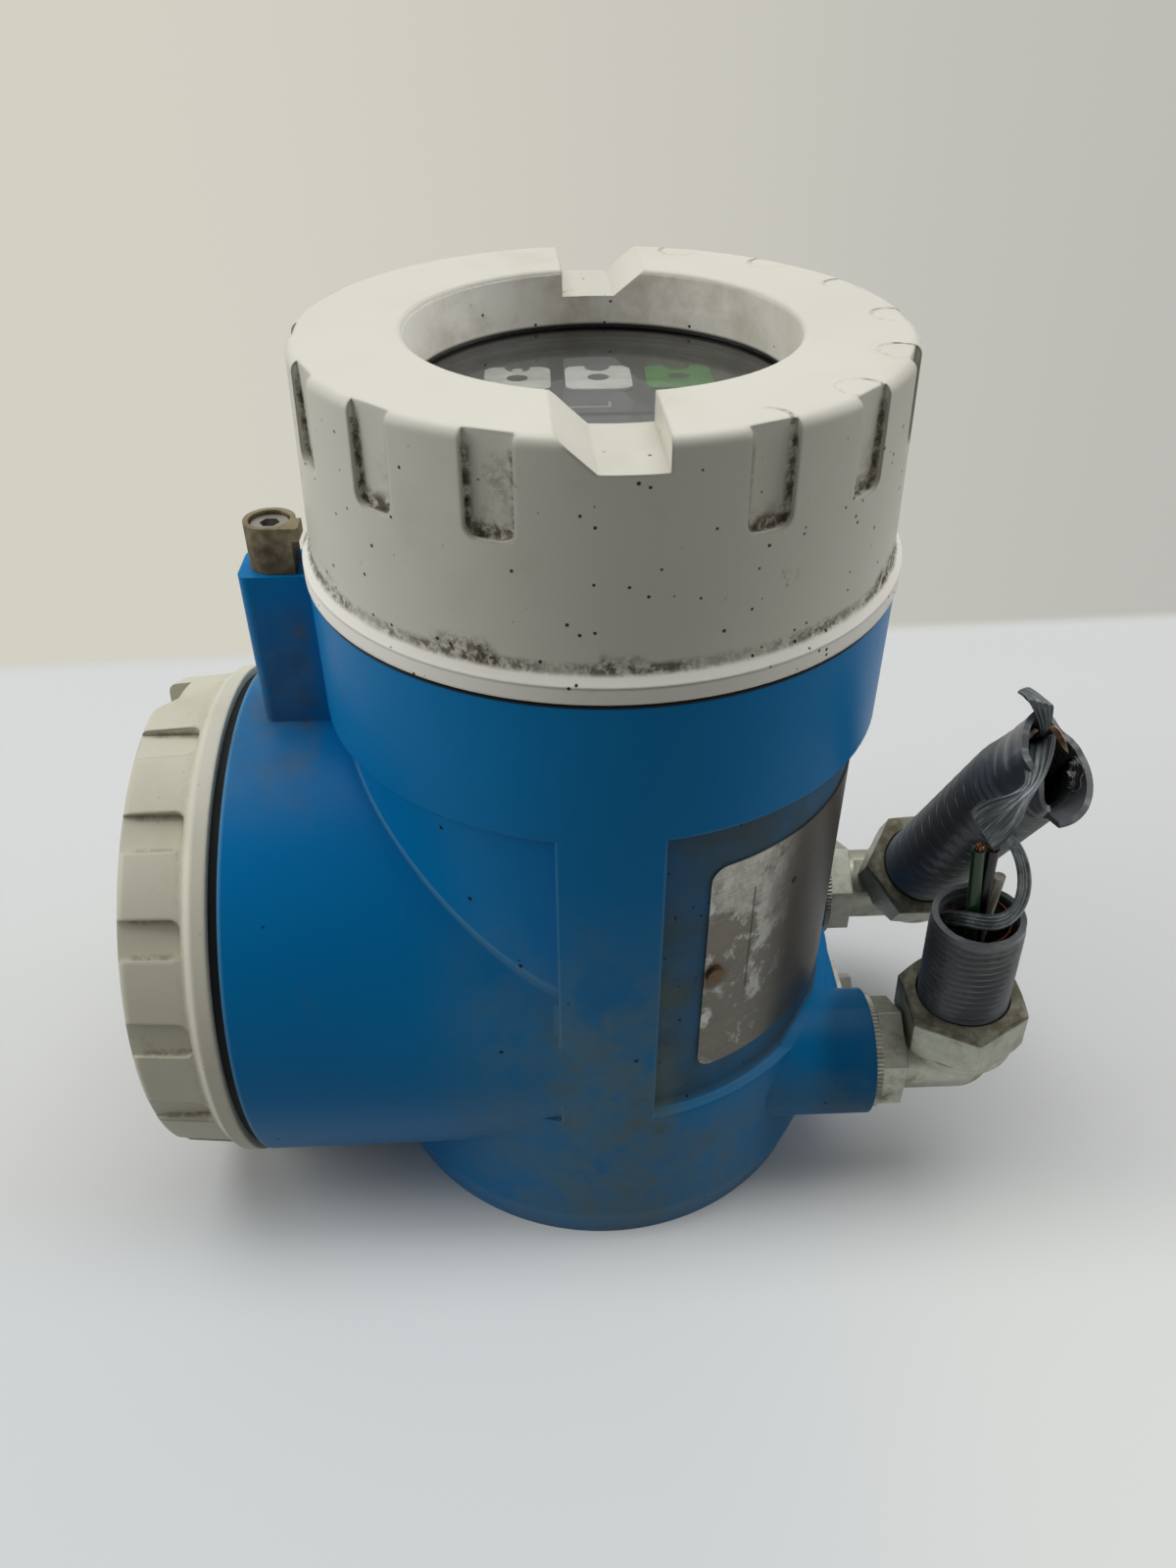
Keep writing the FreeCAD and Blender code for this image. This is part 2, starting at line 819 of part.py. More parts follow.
def strip(points, across, start_w, end_w):
    """Torn strip through points in core radii from the conduit's rim, its width changing along it."""
    middle = core_r - core_t / 2
    rim = V(0, 0, rear_end)
    rows = []
    last = len(points) - 1
    for i in range(last + 1):
        ahead = points[min(i + 1, last)] - points[max(i - 1, 0)]
        side = (across[0] + (across[1] - across[0]) * (i / last) ** 2).normalize()
        normal = side.cross(ahead).normalize()
        half = (start_w + (end_w - start_w) * i / last) * middle / 2
        rows.append((points[i] * middle + rim, side * half, normal * (strip_t / 2)))
    return ribbon(rows)


def rear_core():
    """Core whose strip has torn loose: a tab, a fold across the mouth and a flat tongue."""
    tab = [V(0.36, 0.89, -0.55), V(0.37, 0.89, 0.1), V(0.52, 1.24, 0.42), V(0.37, 1.63, 0.38),
           V(0.05, 1.93, 0.17)]
    fold = [V(0.42, 0.85, -0.45), V(0.64, 0.55, -0.25), V(0.66, 0, -0.2), V(0.37, -0.53, -0.2),
            V(-0.1, -0.93, -0.4)]
    tongue = [V(-0.3, -0.91, -0.5), V(-0.32, -0.9, 0.12), V(-0.66, -1.08, 0.42), V(-1.12, -1.24, 0.36),
              V(-1.75, -1.45, 0.1)]
    return join([core(rear_end - core_back), strip(tab, (V(0.93, -0.37, 0), V(0.95, -0.3, 0.1)), 0.55, 0.41),
                 strip(fold, (UP, UP), 0.56, 0.56),
                 strip(tongue, (V(0.95, -0.31, 0), V(0, -0.92, 0.38)), 0.5, 1.08)])


def rear_jacket():
    """Jacket whose end has split and opened into a flared lip on one side."""
    rows = []
    steps = 15
    for i in range(steps + 1):
        opened = i / steps
        turn = math.radians(lip_from + (lip_to - lip_from) * opened)
        out = V(math.cos(turn), math.sin(turn), 0)
        slope = (out * (0.1 + 0.3 * opened) + UP).normalize()
        thick = V(-math.sin(turn), math.cos(turn), 0).cross(slope)
        middle = out * (conduit_r - jacket_t / 2 + lip_flare * opened) + V(0, 0, rear_end + lip_len / 2 - 1)
        rows.append((middle, slope * (lip_len / 2 + 1), thick * (jacket_t / 2)))
    return join([jacket(rear_end), ribbon(rows)])


def run(points):
    """Path of straight runs joined by tangent arcs through (point, bend radius) pairs."""
    edges = []
    start = points[0][0]
    for i in range(1, len(points) - 1):
        here, radius = points[i]
        back = (points[i - 1][0] - here).normalize()
        ahead = (points[i + 1][0] - here).normalize()
        half = back.getAngle(ahead) / 2
        reach = radius / math.tan(half)
        middle = here + (back + ahead).normalize() * (radius / math.sin(half) - radius)
        edges.append(Part.makeLine(start, here + back * reach))
        start = here + ahead * reach
        edges.append(Part.Arc(here + back * reach, middle, start).toShape())
    edges.append(Part.makeLine(start, points[-1][0]))
    return Part.Wire(edges)


def wire(way, offset, out):
    """Insulated conductor from one terminal through the front fitting to its cut end."""
    hole_y = way_centres(signal_y, signal_w, signal_ways)[way]
    y = -boss_y + offset
    corner = V(front_corner_x, y, boss_z)
    lean = math.radians(front_lean)
    start = V(hole_x, hole_y, block_z + 6)
    spine = run([(start, 0), (start - V(0, 0, wire_drop), wire_bend), (V(hole_x / 2, y, boss_z + wire_dip), wire_sweep),
                 (V(drum_r / 2, y, boss_z), wire_sweep), (corner, elbow_bend),
                 (corner + V(math.sin(lean), 0, math.cos(lean)) * (front_end + out), 0)])
    ring = Part.Wire(Part.makeCircle(wire_r, start, UP))
    return spine.makePipeShell([ring], True, True)


signal = (signal_y, signal_w, signal_ways)
power = (power_y, power_w, power_ways)
front = (front_corner_x, -boss_y, front_lean, front_roll)
rear = (rear_corner_x, boss_y, rear_lean, rear_roll)

export("housing", housing())
export("display_cover", display_cover())
export("window_glass", window_glass())
export("window_ring", window_ring())
export("display_seal", display_seal())
export("display_bezel", display_bezel())
export("display_lcd", display_lcd())
export("display_board", display_board())
export("key_pads", group([key_pad(-1), key_pad(0)]))
export("key_pad_green", key_pad(1))
export("display_holder", display_holder())
export("power_board", electronics_board(-1))
export("amplifier_board", electronics_board(0))
export("io_board", electronics_board(1))
export("board_carrier", board_carrier())
export("feed_through", feed_through())
export("terminal_cover", terminal_cover())
export("terminal_seal", terminal_seal())
export("terminal_carrier", terminal_carrier())
export("signal_terminals", terminal_block(*signal))
export("power_terminals", terminal_block(*power))
export("terminal_screws", group(block_screws(*signal) + block_screws(*power)))
export("carrier_screws", carrier_screws())
export("lock_clamp", lock_clamp())
export("lock_screw", lock_screw())
export("nameplate", nameplate())
export("nameplate_rivets", nameplate_rivets())
export("earth_clamp", earth_clamp())
export("earth_screw", earth_screw())
export("entry_seals", entry_seals())
export("front_connector", connector(*front))
export("front_nut", along(nut(30), *front))
export("front_gland_ring", along(gland_ring(), *front))
export("front_ferrule", along(ferrule(), *front))
export("front_jacket", along(jacket(front_end), *front))
export("front_core", along(front_core(), *front))
export("front_bond", along(front_bond(), *front))
export("wire_green", wire(0, -wire_gap, green_out))
export("wire_black", wire(1, 0, black_out))
export("wire_white", wire(2, wire_gap, white_out))
export("rear_connector", connector(*rear))
export("rear_nut", along(nut(0), *rear))
export("rear_gland_ring", along(gland_ring(), *rear))
export("rear_ferrule", along(ferrule(), *rear))
export("rear_jacket", along(rear_jacket(), *rear))
export("rear_core", along(rear_core(), *rear))
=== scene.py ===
# %% [markdown]
# # Transmitter head of a coriolis flow meter
# The solids of this part come from a CAD model: a blue drum casting, two screwed covers, a clamp, a nameplate
# and two cut conduit stubs. This lesson dresses them. We load the solids first. Nothing that we add may make the
# object larger.

# %% Load the imported part
import math

import bmesh
import bpy
from mathutils import Matrix, Vector


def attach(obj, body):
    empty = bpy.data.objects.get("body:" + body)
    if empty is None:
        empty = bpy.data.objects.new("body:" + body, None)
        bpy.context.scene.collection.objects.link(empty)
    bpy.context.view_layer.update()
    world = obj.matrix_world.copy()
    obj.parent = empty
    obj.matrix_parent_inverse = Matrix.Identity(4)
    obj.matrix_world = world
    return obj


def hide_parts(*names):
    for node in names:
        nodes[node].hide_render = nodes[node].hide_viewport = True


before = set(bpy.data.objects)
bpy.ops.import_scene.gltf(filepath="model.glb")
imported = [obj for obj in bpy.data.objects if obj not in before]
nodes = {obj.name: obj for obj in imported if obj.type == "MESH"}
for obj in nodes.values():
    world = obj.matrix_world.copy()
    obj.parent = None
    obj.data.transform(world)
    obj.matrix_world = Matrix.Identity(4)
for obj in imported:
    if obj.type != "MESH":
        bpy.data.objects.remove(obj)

MM = 0.001
TURN = 2 * math.pi
DEGREES = 180 / math.pi
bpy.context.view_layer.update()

# %% [markdown]
# ## The camera
# The photograph was taken with a phone held above the front of the head. Its place and lens were worked out from
# the drum's ellipses and the heights of the flanges. A camera matrix is simply its right, up and backward
# directions as columns, with the camera's place as the last column.

# %% Camera
scene = bpy.context.scene
scene.view_settings.view_transform = "Standard"
AZIMUTH, PITCH, ROLL = (math.radians(a) for a in (-2.17, 37.61, -0.13))
CAMERA_AT = (-0.0125, -0.2460, 0.2984)
forward = Vector((-math.sin(AZIMUTH) * math.cos(PITCH), math.cos(AZIMUTH) * math.cos(PITCH), -math.sin(PITCH)))
level = Vector((math.cos(AZIMUTH), math.sin(AZIMUTH), 0))
rise = level.cross(forward)
right = math.cos(ROLL) * level + math.sin(ROLL) * rise
up = math.cos(ROLL) * rise - math.sin(ROLL) * level
lens = bpy.data.cameras.new("phone_lens")
lens.sensor_width = 36
lens.lens = 27.05
lens.clip_start = 0.01
camera = bpy.data.objects.new("phone", lens)
scene.collection.objects.link(camera)
turned_to = Matrix((right, up, -forward)).transposed().to_4x4()
camera.matrix_world = Matrix.Translation(CAMERA_AT) @ turned_to
scene.camera = camera
print("camera at", [round(v, 4) for v in camera.location])

# %% [markdown]
# ## Node maths in plain Python
# Weathered paint is mostly masks: a patch of noise, times a height, minus a clean spot. Written as Math nodes
# that is tedious, so `Value` wraps a socket and lets ordinary operators add the nodes. `Graph` has one method that
# adds any other node, with its settings first and its sockets after. Both work in shader trees and in geometry
# trees, because the two kinds of tree share their maths nodes.

# %% Values and graphs
class Value:
    """A node socket on which plain arithmetic adds Math nodes."""

    def __init__(self, graph, socket):
        self.graph = graph
        self.socket = socket

    def maths(self, operation, *terms):
        return self.graph.node("Math", {"operation": operation}, dict(enumerate(terms)))

    def __add__(self, other):
        return self.maths("ADD", self, other)

    def __sub__(self, other):
        return self.maths("SUBTRACT", self, other)

    def __rsub__(self, other):
        return self.maths("SUBTRACT", other, self)

    def __mul__(self, other):
        return self.maths("MULTIPLY", self, other)

    def __truediv__(self, other):
        return self.maths("DIVIDE", self, other)

    def __pow__(self, other):
        return self.maths("POWER", self, other)

    def __gt__(self, other):
        return self.maths("GREATER_THAN", self, other)

    def __lt__(self, other):
        return self.maths("LESS_THAN", self, other)

    def __abs__(self):
        return self.maths("ABSOLUTE", self)

    __radd__ = __add__
    __rmul__ = __mul__

    def most(self, other):
        return self.maths("MAXIMUM", self, other)

    def between(self, low, high):
        """1 between two bounds, 0 outside them."""
        return (self > low) * (self < high)

    def from_whole(self):
        """Signed distance to the nearest whole number; the 100 keeps what is cut positive."""
        return self.maths("FRACT", self + 100.5) - 0.5

    def wave(self, function):
        """SINE or COSINE of an angle in radians."""
        return self.maths(function, self)

    def ramp(self, low, high):
        """Smooth step from 0 at low to 1 at high; low may be the larger."""
        return self.graph.node("MapRange", {"interpolation_type": "SMOOTHSTEP"},
                               {"Value": self, "From Min": low, "From Max": high})


class Graph:
    """A node tree with one method that adds any node."""

    def __init__(self, tree):
        self.tree = tree

    def feed(self, socket, value):
        """Link a value to a socket, or set the socket to a plain number or colour."""
        if isinstance(value, Value):
            self.tree.links.new(value.socket, socket)
        else:
            socket.default_value = value

    def node(self, kind, settings=None, sockets=None, out=0):
        made = self.tree.nodes.new(kind if kind.startswith(("Geometry", "Function")) else "ShaderNode" + kind)
        for key, value in (settings or {}).items():
            setattr(made, key, value)
        for key, value in (sockets or {}).items():
            self.feed(made.inputs[key], value)
        return Value(self, made.outputs[out])

    def parts(self, vector):
        """The three numbers of a vector."""
        split = self.node("SeparateXYZ", sockets={0: vector}).socket.node
        return [Value(self, split.outputs[k]) for k in range(3)]


print("node maths ready")

# %% [markdown]
# ## A finish
# `Finish` is one material: a Principled shader and the graph that feeds it. All patterns read Object coordinates.
# Every solid's own origin is the part's origin, so those are simply metres in the frame of the part, and a stain
# can be put at a real place.

# %% Finish
class Finish(Graph):
    """One material with a Principled shader and the nodes that feed it."""

    def __init__(self, name, **shader):
        self.material = bpy.data.materials.new(name)
        self.material.use_nodes = True
        super().__init__(self.material.node_tree)
        self.shader = self.tree.nodes["Principled BSDF"]
        self.place = self.node("TexCoord", out="Object")
        for socket, value in shader.items():
            self.set(socket.replace("_", " "), value)

    def set(self, socket, value):
        self.feed(self.shader.inputs[socket], value)

    def axes(self):
        return self.parts(self.place)

    def length(self, *terms):
        """Length of the vector with these two or three numbers."""
        vector = self.node("CombineXYZ", sockets=dict(enumerate(terms)))
        return self.node("VectorMath", {"operation": "LENGTH"}, {0: vector}, out="Value")

    def noise(self, scale, seed, detail=3.0, rough=0.55, stretch=(1, 1, 1)):
        spot = self.node("Mapping", sockets={"Vector": self.place, "Scale": stretch})
        return self.node("TexNoise", {"noise_dimensions": "4D"},
                         {"Vector": spot, "W": seed, "Scale": scale, "Detail": detail, "Roughness": rough})

    def specks(self, scale, size, share, seed):
        """Small round spots: the middles of some cells of a Voronoi pattern."""
        spot = self.node("Mapping", sockets={"Vector": self.place, "Location": (seed, seed, seed)})
        cells = self.node("TexVoronoi", sockets={"Vector": spot, "Scale": scale}).socket.node
        chosen = self.node("SeparateColor", sockets={0: Value(self, cells.outputs["Color"])}) < share
        return Value(self, cells.outputs["Distance"]).ramp(size, size * 0.6) * chosen

    def mix(self, mask, under, over):
        return self.node("Mix", {"data_type": "RGBA"}, {0: mask, 6: under, 7: over}, out=2)

    def relief(self, height, depth, edge=0.0, lift=None):
        """Bump of a depth in metres, over edges that are rounded by a radius; lift turns the surface upwards."""
        sockets = {"Strength": 1.0, "Distance": depth, "Height": height}
        if edge:
            sockets["Normal"] = self.node("Bevel", {"samples": 4}, {"Radius": edge})
        if lift:
            above = self.node("CombineXYZ", sockets={2: lift})
            sockets["Normal"] = self.node("VectorMath", {"operation": "ADD"}, {0: sockets["Normal"], 1: above})
        self.set("Normal", self.node("Bump", sockets=sockets))


def bearing(side, front):
    """Angle round an axis in radians, from the front towards the side."""
    return side.maths("ARCTAN2", side, front)


def rgb(code):
    """Linear colour with alpha from the usual six hex digits."""
    levels = [int(code[k:k + 2], 16) / 255 for k in (0, 2, 4)]
    return tuple(c / 12.92 if c <= 0.04045 else ((c + 0.055) / 1.055) ** 2.4 for c in levels) + (1.0,)


def dress(finish, *names):
    """Give CAD nodes a finish in place of their plain colour."""
    for name in names:
        nodes[name].data.materials.clear()
        nodes[name].data.materials.append(finish.material)


print("finishes ready")

# %% [markdown]
# ## Blue powder coat
# The casting is sprayed with a satin blue powder coat that has the faint orange peel of such coats. Grime lies on the
# lower front and on the lock post, a thin dust round it, and a film of dirt in the nameplate's recess. All of it is
# noise, cut by height and by place, so that it gathers where hands and water leave it. Edges, the end of the side
# barrel and the crease where it meets the drum get painted highlights in a paler blue. Painted shade darkens the
# front of the entry boss, and a dark line of painted shade lies on the drum's top where the window cover's flange
# sits.

# %% Housing grime and painted highlights
BARREL_Z = 0.0697           # height of the side barrel's axis
BARREL_RADIUS = 0.0660
DRUM_TOP = 0.1770
SUNK_FRONT = 0.0620         # radius of the drum's sunk front
RECESS_FLOOR = 0.0629       # the nameplate's recess lies within this radius
RECESS_LINTEL = 0.144       # height at which the sunk front and the recess end
FINE_LINE = (0.0008, 0.0003)  # distances at which a painted line begins and is full


def housing_grime(coat, x, front, z, recess, cloud):
    """Masks of the dust, the smears, the haze that has run down and the film in the recess."""
    fine = coat.noise(120, 9.3, detail=6, rough=0.7)
    streak = coat.noise(60, 4.1, detail=5, rough=0.65, stretch=(1, 1, 0.35))
    foot = z.ramp(0.060, 0.034) * front * x.ramp(-0.050, -0.015)
    band = x.ramp(-0.024, -0.008) * x.ramp(0.022, 0.012) * front * z.ramp(0.135, 0.075)
    join = x.ramp(-0.050, -0.020) * x.ramp(0.004, -0.006) * front * z.ramp(0.125, 0.085)
    where = (foot * 0.7).most(band).most(join * 0.5)
    dust = where * (0.3 + 0.7 * cloud.ramp(0.42, 0.52)) * (0.6 + 0.4 * fine.ramp(0.36, 0.60))
    post = x.ramp(-0.066, -0.070) * (z > 0.118) * z.ramp(0.172, 0.160) * z.ramp(0.122, 0.140)
    smear = cloud.ramp(0.50, 0.62) * fine.ramp(0.44, 0.58) * where * 0.5
    smear = smear.most(post * (0.2 + 0.6 * cloud.ramp(0.40, 0.60) * fine.ramp(0.38, 0.58)))
    smear = smear.most(coat.noise(75, 12.0, detail=6, rough=0.7).ramp(0.665, 0.72) * 0.8)
    haze = streak.ramp(0.56, 0.76) * z.ramp(0.150, 0.040) * 0.3
    film = recess * (0.55 + 0.45 * coat.noise(45, 2.2, detail=5).ramp(0.35, 0.65))
    return dust, smear, haze, film


def housing_edge_highlights(coat, x, y, z, radius, front, cloud):
    """Mask of the painted highlights: paler edges, the end of the barrel and the crease between barrel and drum."""
    # Each mask here is a painted highlight: the step walls, the recess sides and lintel, the barrel's end and the
    # crease.
    step = radius.between(0.0632, 0.0656) * z.between(0.048, 0.148) * front * (x > -0.0135)
    apart = abs(bearing(x, 0 - y) * DEGREES + 0.8) - 10
    sides = abs(apart).ramp(0.6, 0.15) * z.between(0.053, RECESS_LINTEL)
    lintel = abs(z - RECESS_LINTEL).ramp(0.0006, 0.0002) * (apart > 0) * (0.2 + 0.5 * (x > 0))
    skin_only = radius.between(0.0648, 0.0662) * front
    edges = sides.most(lintel) * skin_only * (0.4 + 0.6 * cloud.ramp(0.36, 0.58))
    on_barrel = abs(coat.length(y, z - BARREL_Z) - BARREL_RADIUS).ramp(*FINE_LINE)
    on_front = abs(radius - SUNK_FRONT).ramp(*FINE_LINE)
    crease = on_barrel * on_front * (0.4 + 0.6 * z.ramp(0.075, 0.115)) * (x < -0.012)
    barrel_end = x.ramp(-0.0880, -0.0886)
    return (step * 0.45).most(edges * 0.45).most(barrel_end * 0.5).most(crease * 0.5)


print("grime and wear masks ready")

# %% Housing paint
def blue_coat():
    coat = Finish("blue_powder_coat", Specular_IOR_Level=0.1)
    x, y, z = coat.axes()
    radius = coat.length(x, y)
    front = y.ramp(-0.030, -0.055)
    recess = (radius < RECESS_FLOOR) * x.ramp(0.004, 0.012) * z.between(0.050, 0.146)
    cloud = coat.noise(34, 1.7, detail=6, rough=0.62)
    dust, smear, haze, film = housing_grime(coat, x, front, z, recess, cloud)
    grime = (smear * 0.8).most(dust * 0.5).most(haze).most(film * 0.7)
    chips = coat.specks(190, 0.13, 0.07, 3.0).most(coat.specks(520, 0.20, 0.12, 6.0) * recess)
    tone = coat.mix(coat.noise(9, 8.0, detail=2).ramp(0.3, 0.7), rgb("0075b4"), rgb("027ebe"))
    # Painted highlights: edges, the barrel's end and the crease are mixed paler here.
    tone = coat.mix(housing_edge_highlights(coat, x, y, z, radius, front, cloud), tone, rgb("6aa6cc"))
    # Painted shade: the front of the entry boss is mixed darker.
    boss_shade = x.ramp(0.052, 0.062) * radius.ramp(0.0655, 0.0725) * z.ramp(0.066, 0.058)
    tone = coat.mix(boss_shade * 0.55, tone, rgb("003c62"))
    dirty = coat.mix(coat.noise(140, 7.0, detail=4).ramp(0.35, 0.65), rgb("6c6a52"), rgb("50554a"))
    colour = coat.mix(film * 0.82, tone, rgb("555846"))
    colour = coat.mix(dust * 0.55, colour, rgb("7c8b78"))
    colour = coat.mix(smear.most(haze) * 0.85, colour, dirty)
    # Painted shade: a dark ring on the drum's top and the top of its wall, where the gap under the window cover's
    # flange lies.
    flange_gap_shade = z.ramp(DRUM_TOP - 0.0006, DRUM_TOP) * radius.between(0.0600, 0.0668)
    coat.set("Base Color", coat.mix(chips.most(flange_gap_shade), colour, rgb("151513")))
    coat.set("Roughness", 0.36 + 0.30 * grime)
    coat.relief(coat.noise(900, 2.0, detail=2) * 0.06 + grime * 0.10 - chips * 0.3, 0.0002, edge=0.0007)
    return coat


dress(blue_coat(), "housing")
print("housing painted")

# %% [markdown]
# ## Light grey covers
# Both covers wear an off-white coat. Dirt sits in the corners of the finger flutes and round the foot of the wall
# above the flange, and black specks are scattered on the wall. Shallow scoops in the rim are outlined in stain, and
# their far edges are darkened, partly by dirt and partly as painted shade. Painted shade also darkens the foot of the
# window's well.
# The flutes come at equal angles round the cover's axis, so the fraction of a step tells how far a point is from the
# middle of its flute, and the radius tells how deep it lies. The flange, its ledge and the wall of the window's well
# are brighter in the photograph than plain shapes would be in this light, so they are painted paler, a painted
# highlight, and their normals are lifted a little.

# %% Dirt on the covers
FLUTES = 16                 # steps round a cover: fourteen flutes and two notches
FLUTE_STEP = 360 / FLUTES
WELL_RADIUS = 0.0405


def flute_dirt(height, radius, turn, offset, rim, patch, fine):
    """Dirt in the corners of the flutes; the two notches, half a turn apart, have none."""
    flute = abs((turn / (FLUTES / 2)).from_whole()) > 0.07
    deep = radius.ramp(0.0634, 0.0626) * (radius > 0.0608) * (offset < 0.0052) * flute
    corner = offset.ramp(0.0028, 0.0043).most(height.ramp(rim - 0.0148, rim - 0.0178))
    held = corner * (0.45 + 0.55 * patch.ramp(0.30, 0.48))
    spread = held.most(patch.ramp(0.55, 0.70) * 0.5) * fine.ramp(0.38, 0.55)
    return deep * height.ramp(rim - 0.002, rim - 0.004) * spread


def foot_dirt(height, foot, patch, fine):
    """A dirty line at the foot of the wall, caked in places."""
    above = height.ramp(foot - 0.0008, foot + 0.0002)
    line = above * height.ramp(foot + 0.0026, foot + 0.0010) * (0.35 + 0.5 * patch.ramp(0.35, 0.55))
    cake = above * height.ramp(foot + 0.0060, foot + 0.0018) * patch.ramp(0.54, 0.66)
    return line.most(cake) * fine.ramp(0.40, 0.55)


def rim_scoops(coat, x, height, radius, swing, offset, rim, patch):
    """Outlines of the scoops above the right-hand flutes, and their deeper far edges alone, darkened as painted shade
    and dirt.
    """
    ring = coat.length(offset, radius - 0.0599)
    outline = ring.ramp(0.0051, 0.0046) * ring.ramp(0.0036, 0.0042) * (height > rim - 0.0012) * x.ramp(0.0, 0.02)
    spots = patch.ramp(0.40, 0.56)
    far_edge_shade = outline * swing.ramp(-0.02, 0.08) * (0.6 + 0.4 * spots)
    return far_edge_shade.most(outline * spots * 0.6), far_edge_shade


print("cover masks ready")

# %% Cover paint
def grey_coat(name, along, across, flute_turn, foot, rim, grime, worn, tones):
    """Coat of a cover: along is its axis and across its other two axes as functions of x, y and z."""
    # worn scales the foot dirt and the specks, and also the painted shade and highlights in the well and on the ledge
    # and flange.
    coat = Finish(name, Specular_IOR_Level=0.35)
    x, y, z = coat.axes()
    height = along(x, y, z)
    side, front = across(x, y, z)
    radius = coat.length(side, front)
    turn = bearing(side, front) * (FLUTES / TURN) + flute_turn
    swing = turn.from_whole()
    offset = abs(swing) * (TURN / FLUTES) * radius
    fine = coat.noise(560, 1.0, detail=6, rough=0.72)
    patch = coat.noise(58, 5.0, detail=4)
    scoops, far_edge_shade = rim_scoops(coat, x, height, radius, swing, offset, rim, patch)
    dirt_and_scoop_shade = flute_dirt(height, radius, turn, offset, rim, patch, fine) * grime
    dirt_and_scoop_shade = dirt_and_scoop_shade.most(foot_dirt(height, foot, patch, fine) * worn)
    # The scoops' far edges: painted shade of the far wall, partly dirt.
    dirt_and_scoop_shade = dirt_and_scoop_shade.most(far_edge_shade * radius.ramp(0.0560, 0.0585) * fine.ramp(0.36, 0.52) * 0.75)
    wall = height.ramp(rim - 0.004, rim - 0.006) * worn
    specks = coat.specks(170, 0.07, 0.8, 2.0).most(coat.specks(420, 0.2, 0.25, 5.0)) * wall
    well = (radius < WELL_RADIUS) * (height < rim - 0.0005) * worn
    # Painted shade: the well's wall is darkened near its foot, by the glass.
    well_foot_shade = well * height.ramp(rim - 0.0116, rim - 0.0124)
    soil = well * coat.noise(50, 7.0, detail=5, rough=0.65).ramp(0.40, 0.66) * (0.2 + 0.3 * y.ramp(0, 0.03))
    stain = coat.noise(24, 6.0, detail=5, rough=0.6).ramp(0.52, 0.80) * 0.28
    stain = stain.most(coat.noise(120, 8.0, detail=6, rough=0.7).ramp(0.64, 0.72) * wall * 0.7)
    stain = stain.most(soil).most(scoops * fine.ramp(0.45, 0.6) * 0.6)
    ledge = height.ramp(foot - 0.0030, foot - 0.0022) * height.ramp(foot, foot - 0.0008) * worn
    flange = height.ramp(foot - 0.0016, foot - 0.0024) * (radius > 0.064) * worn
    # Painted highlight: clean mixes the ledge, the flange and the well's wall paler, in place of light they would
    # catch.
    clean = ledge.most(flange * 0.8).most(well * (0.7 - 0.7 * x.ramp(0.022, 0.036)))
    tone = coat.mix(coat.noise(14, 4.0, detail=3).ramp(0.3, 0.7), rgb(tones[0]), rgb(tones[1]))
    tone = coat.mix(clean, tone, rgb("fdfbf2"))
    colour = coat.mix(stain, tone, rgb("978c73"))
    colour = coat.mix(dirt_and_scoop_shade, colour, coat.mix(fine.ramp(0.50, 0.62), rgb("6a5f4c"), rgb("3a3226")))
    coat.set("Base Color", coat.mix(specks.most(well_foot_shade), colour, rgb("1f1c18")))
    coat.set("Roughness", 0.42 + 0.3 * dirt_and_scoop_shade)
    peel = coat.noise(1100, 2.0, detail=2) * 0.05
    lift = ledge * 1.4 + flange * 0.4 + well * (0.55 - 0.3 * x.ramp(0.005, 0.030))
    coat.relief(peel + dirt_and_scoop_shade * 0.1 - scoops * 0.8, 0.0002, edge=0.0012, lift=lift)
    return coat


display_coat = grey_coat(
    "grey_coat_display", lambda x, y, z: z, lambda x, y, z: (x, 0 - y),
    flute_turn=-2.0 / FLUTE_STEP, foot=0.1838, rim=0.227, grime=0.9, worn=1.0, tones=("d9d7cb", "d2d0c4"))
terminal_coat = grey_coat(
    "grey_coat_terminal", lambda x, y, z: 0 - x, lambda x, y, z: (z - BARREL_Z, 0 - y),
    flute_turn=-103.1 / FLUTE_STEP, foot=0.0974, rim=0.113, grime=0.45, worn=0.15, tones=("d0cdba", "c8c5b1"))
dress(display_coat, "display_cover")
dress(terminal_coat, "terminal_cover")
print("covers painted")

# %% [markdown]
# ## Bare and plated metal
# The clamp, screws, nameplate and fittings are all metal, and differ in tint and in how they have aged. One recipe
# serves: a metal base, a cloud of brown stain that takes the shine away, and fine scratches in the bump.

# %% Where the fittings stand
def leg(corner, lean, roll):
    """Place of a fitting whose own +Z axis leaves an elbow at a corner given in millimetres."""
    turned = Matrix.Rotation(math.radians(roll), 4, "X") @ Matrix.Rotation(math.radians(lean), 4, "Y")
    return Matrix.Translation(Vector(corner) * MM) @ turned


FRONT_LEG = leg((97.0, -34.0, 39.2), -2.8, 0.0)
REAR_LEG = leg((100.3, 34.0, 39.2), 1.4, 33.2)
print("legs stand along", FRONT_LEG.col[2].xyz, REAR_LEG.col[2].xyz)

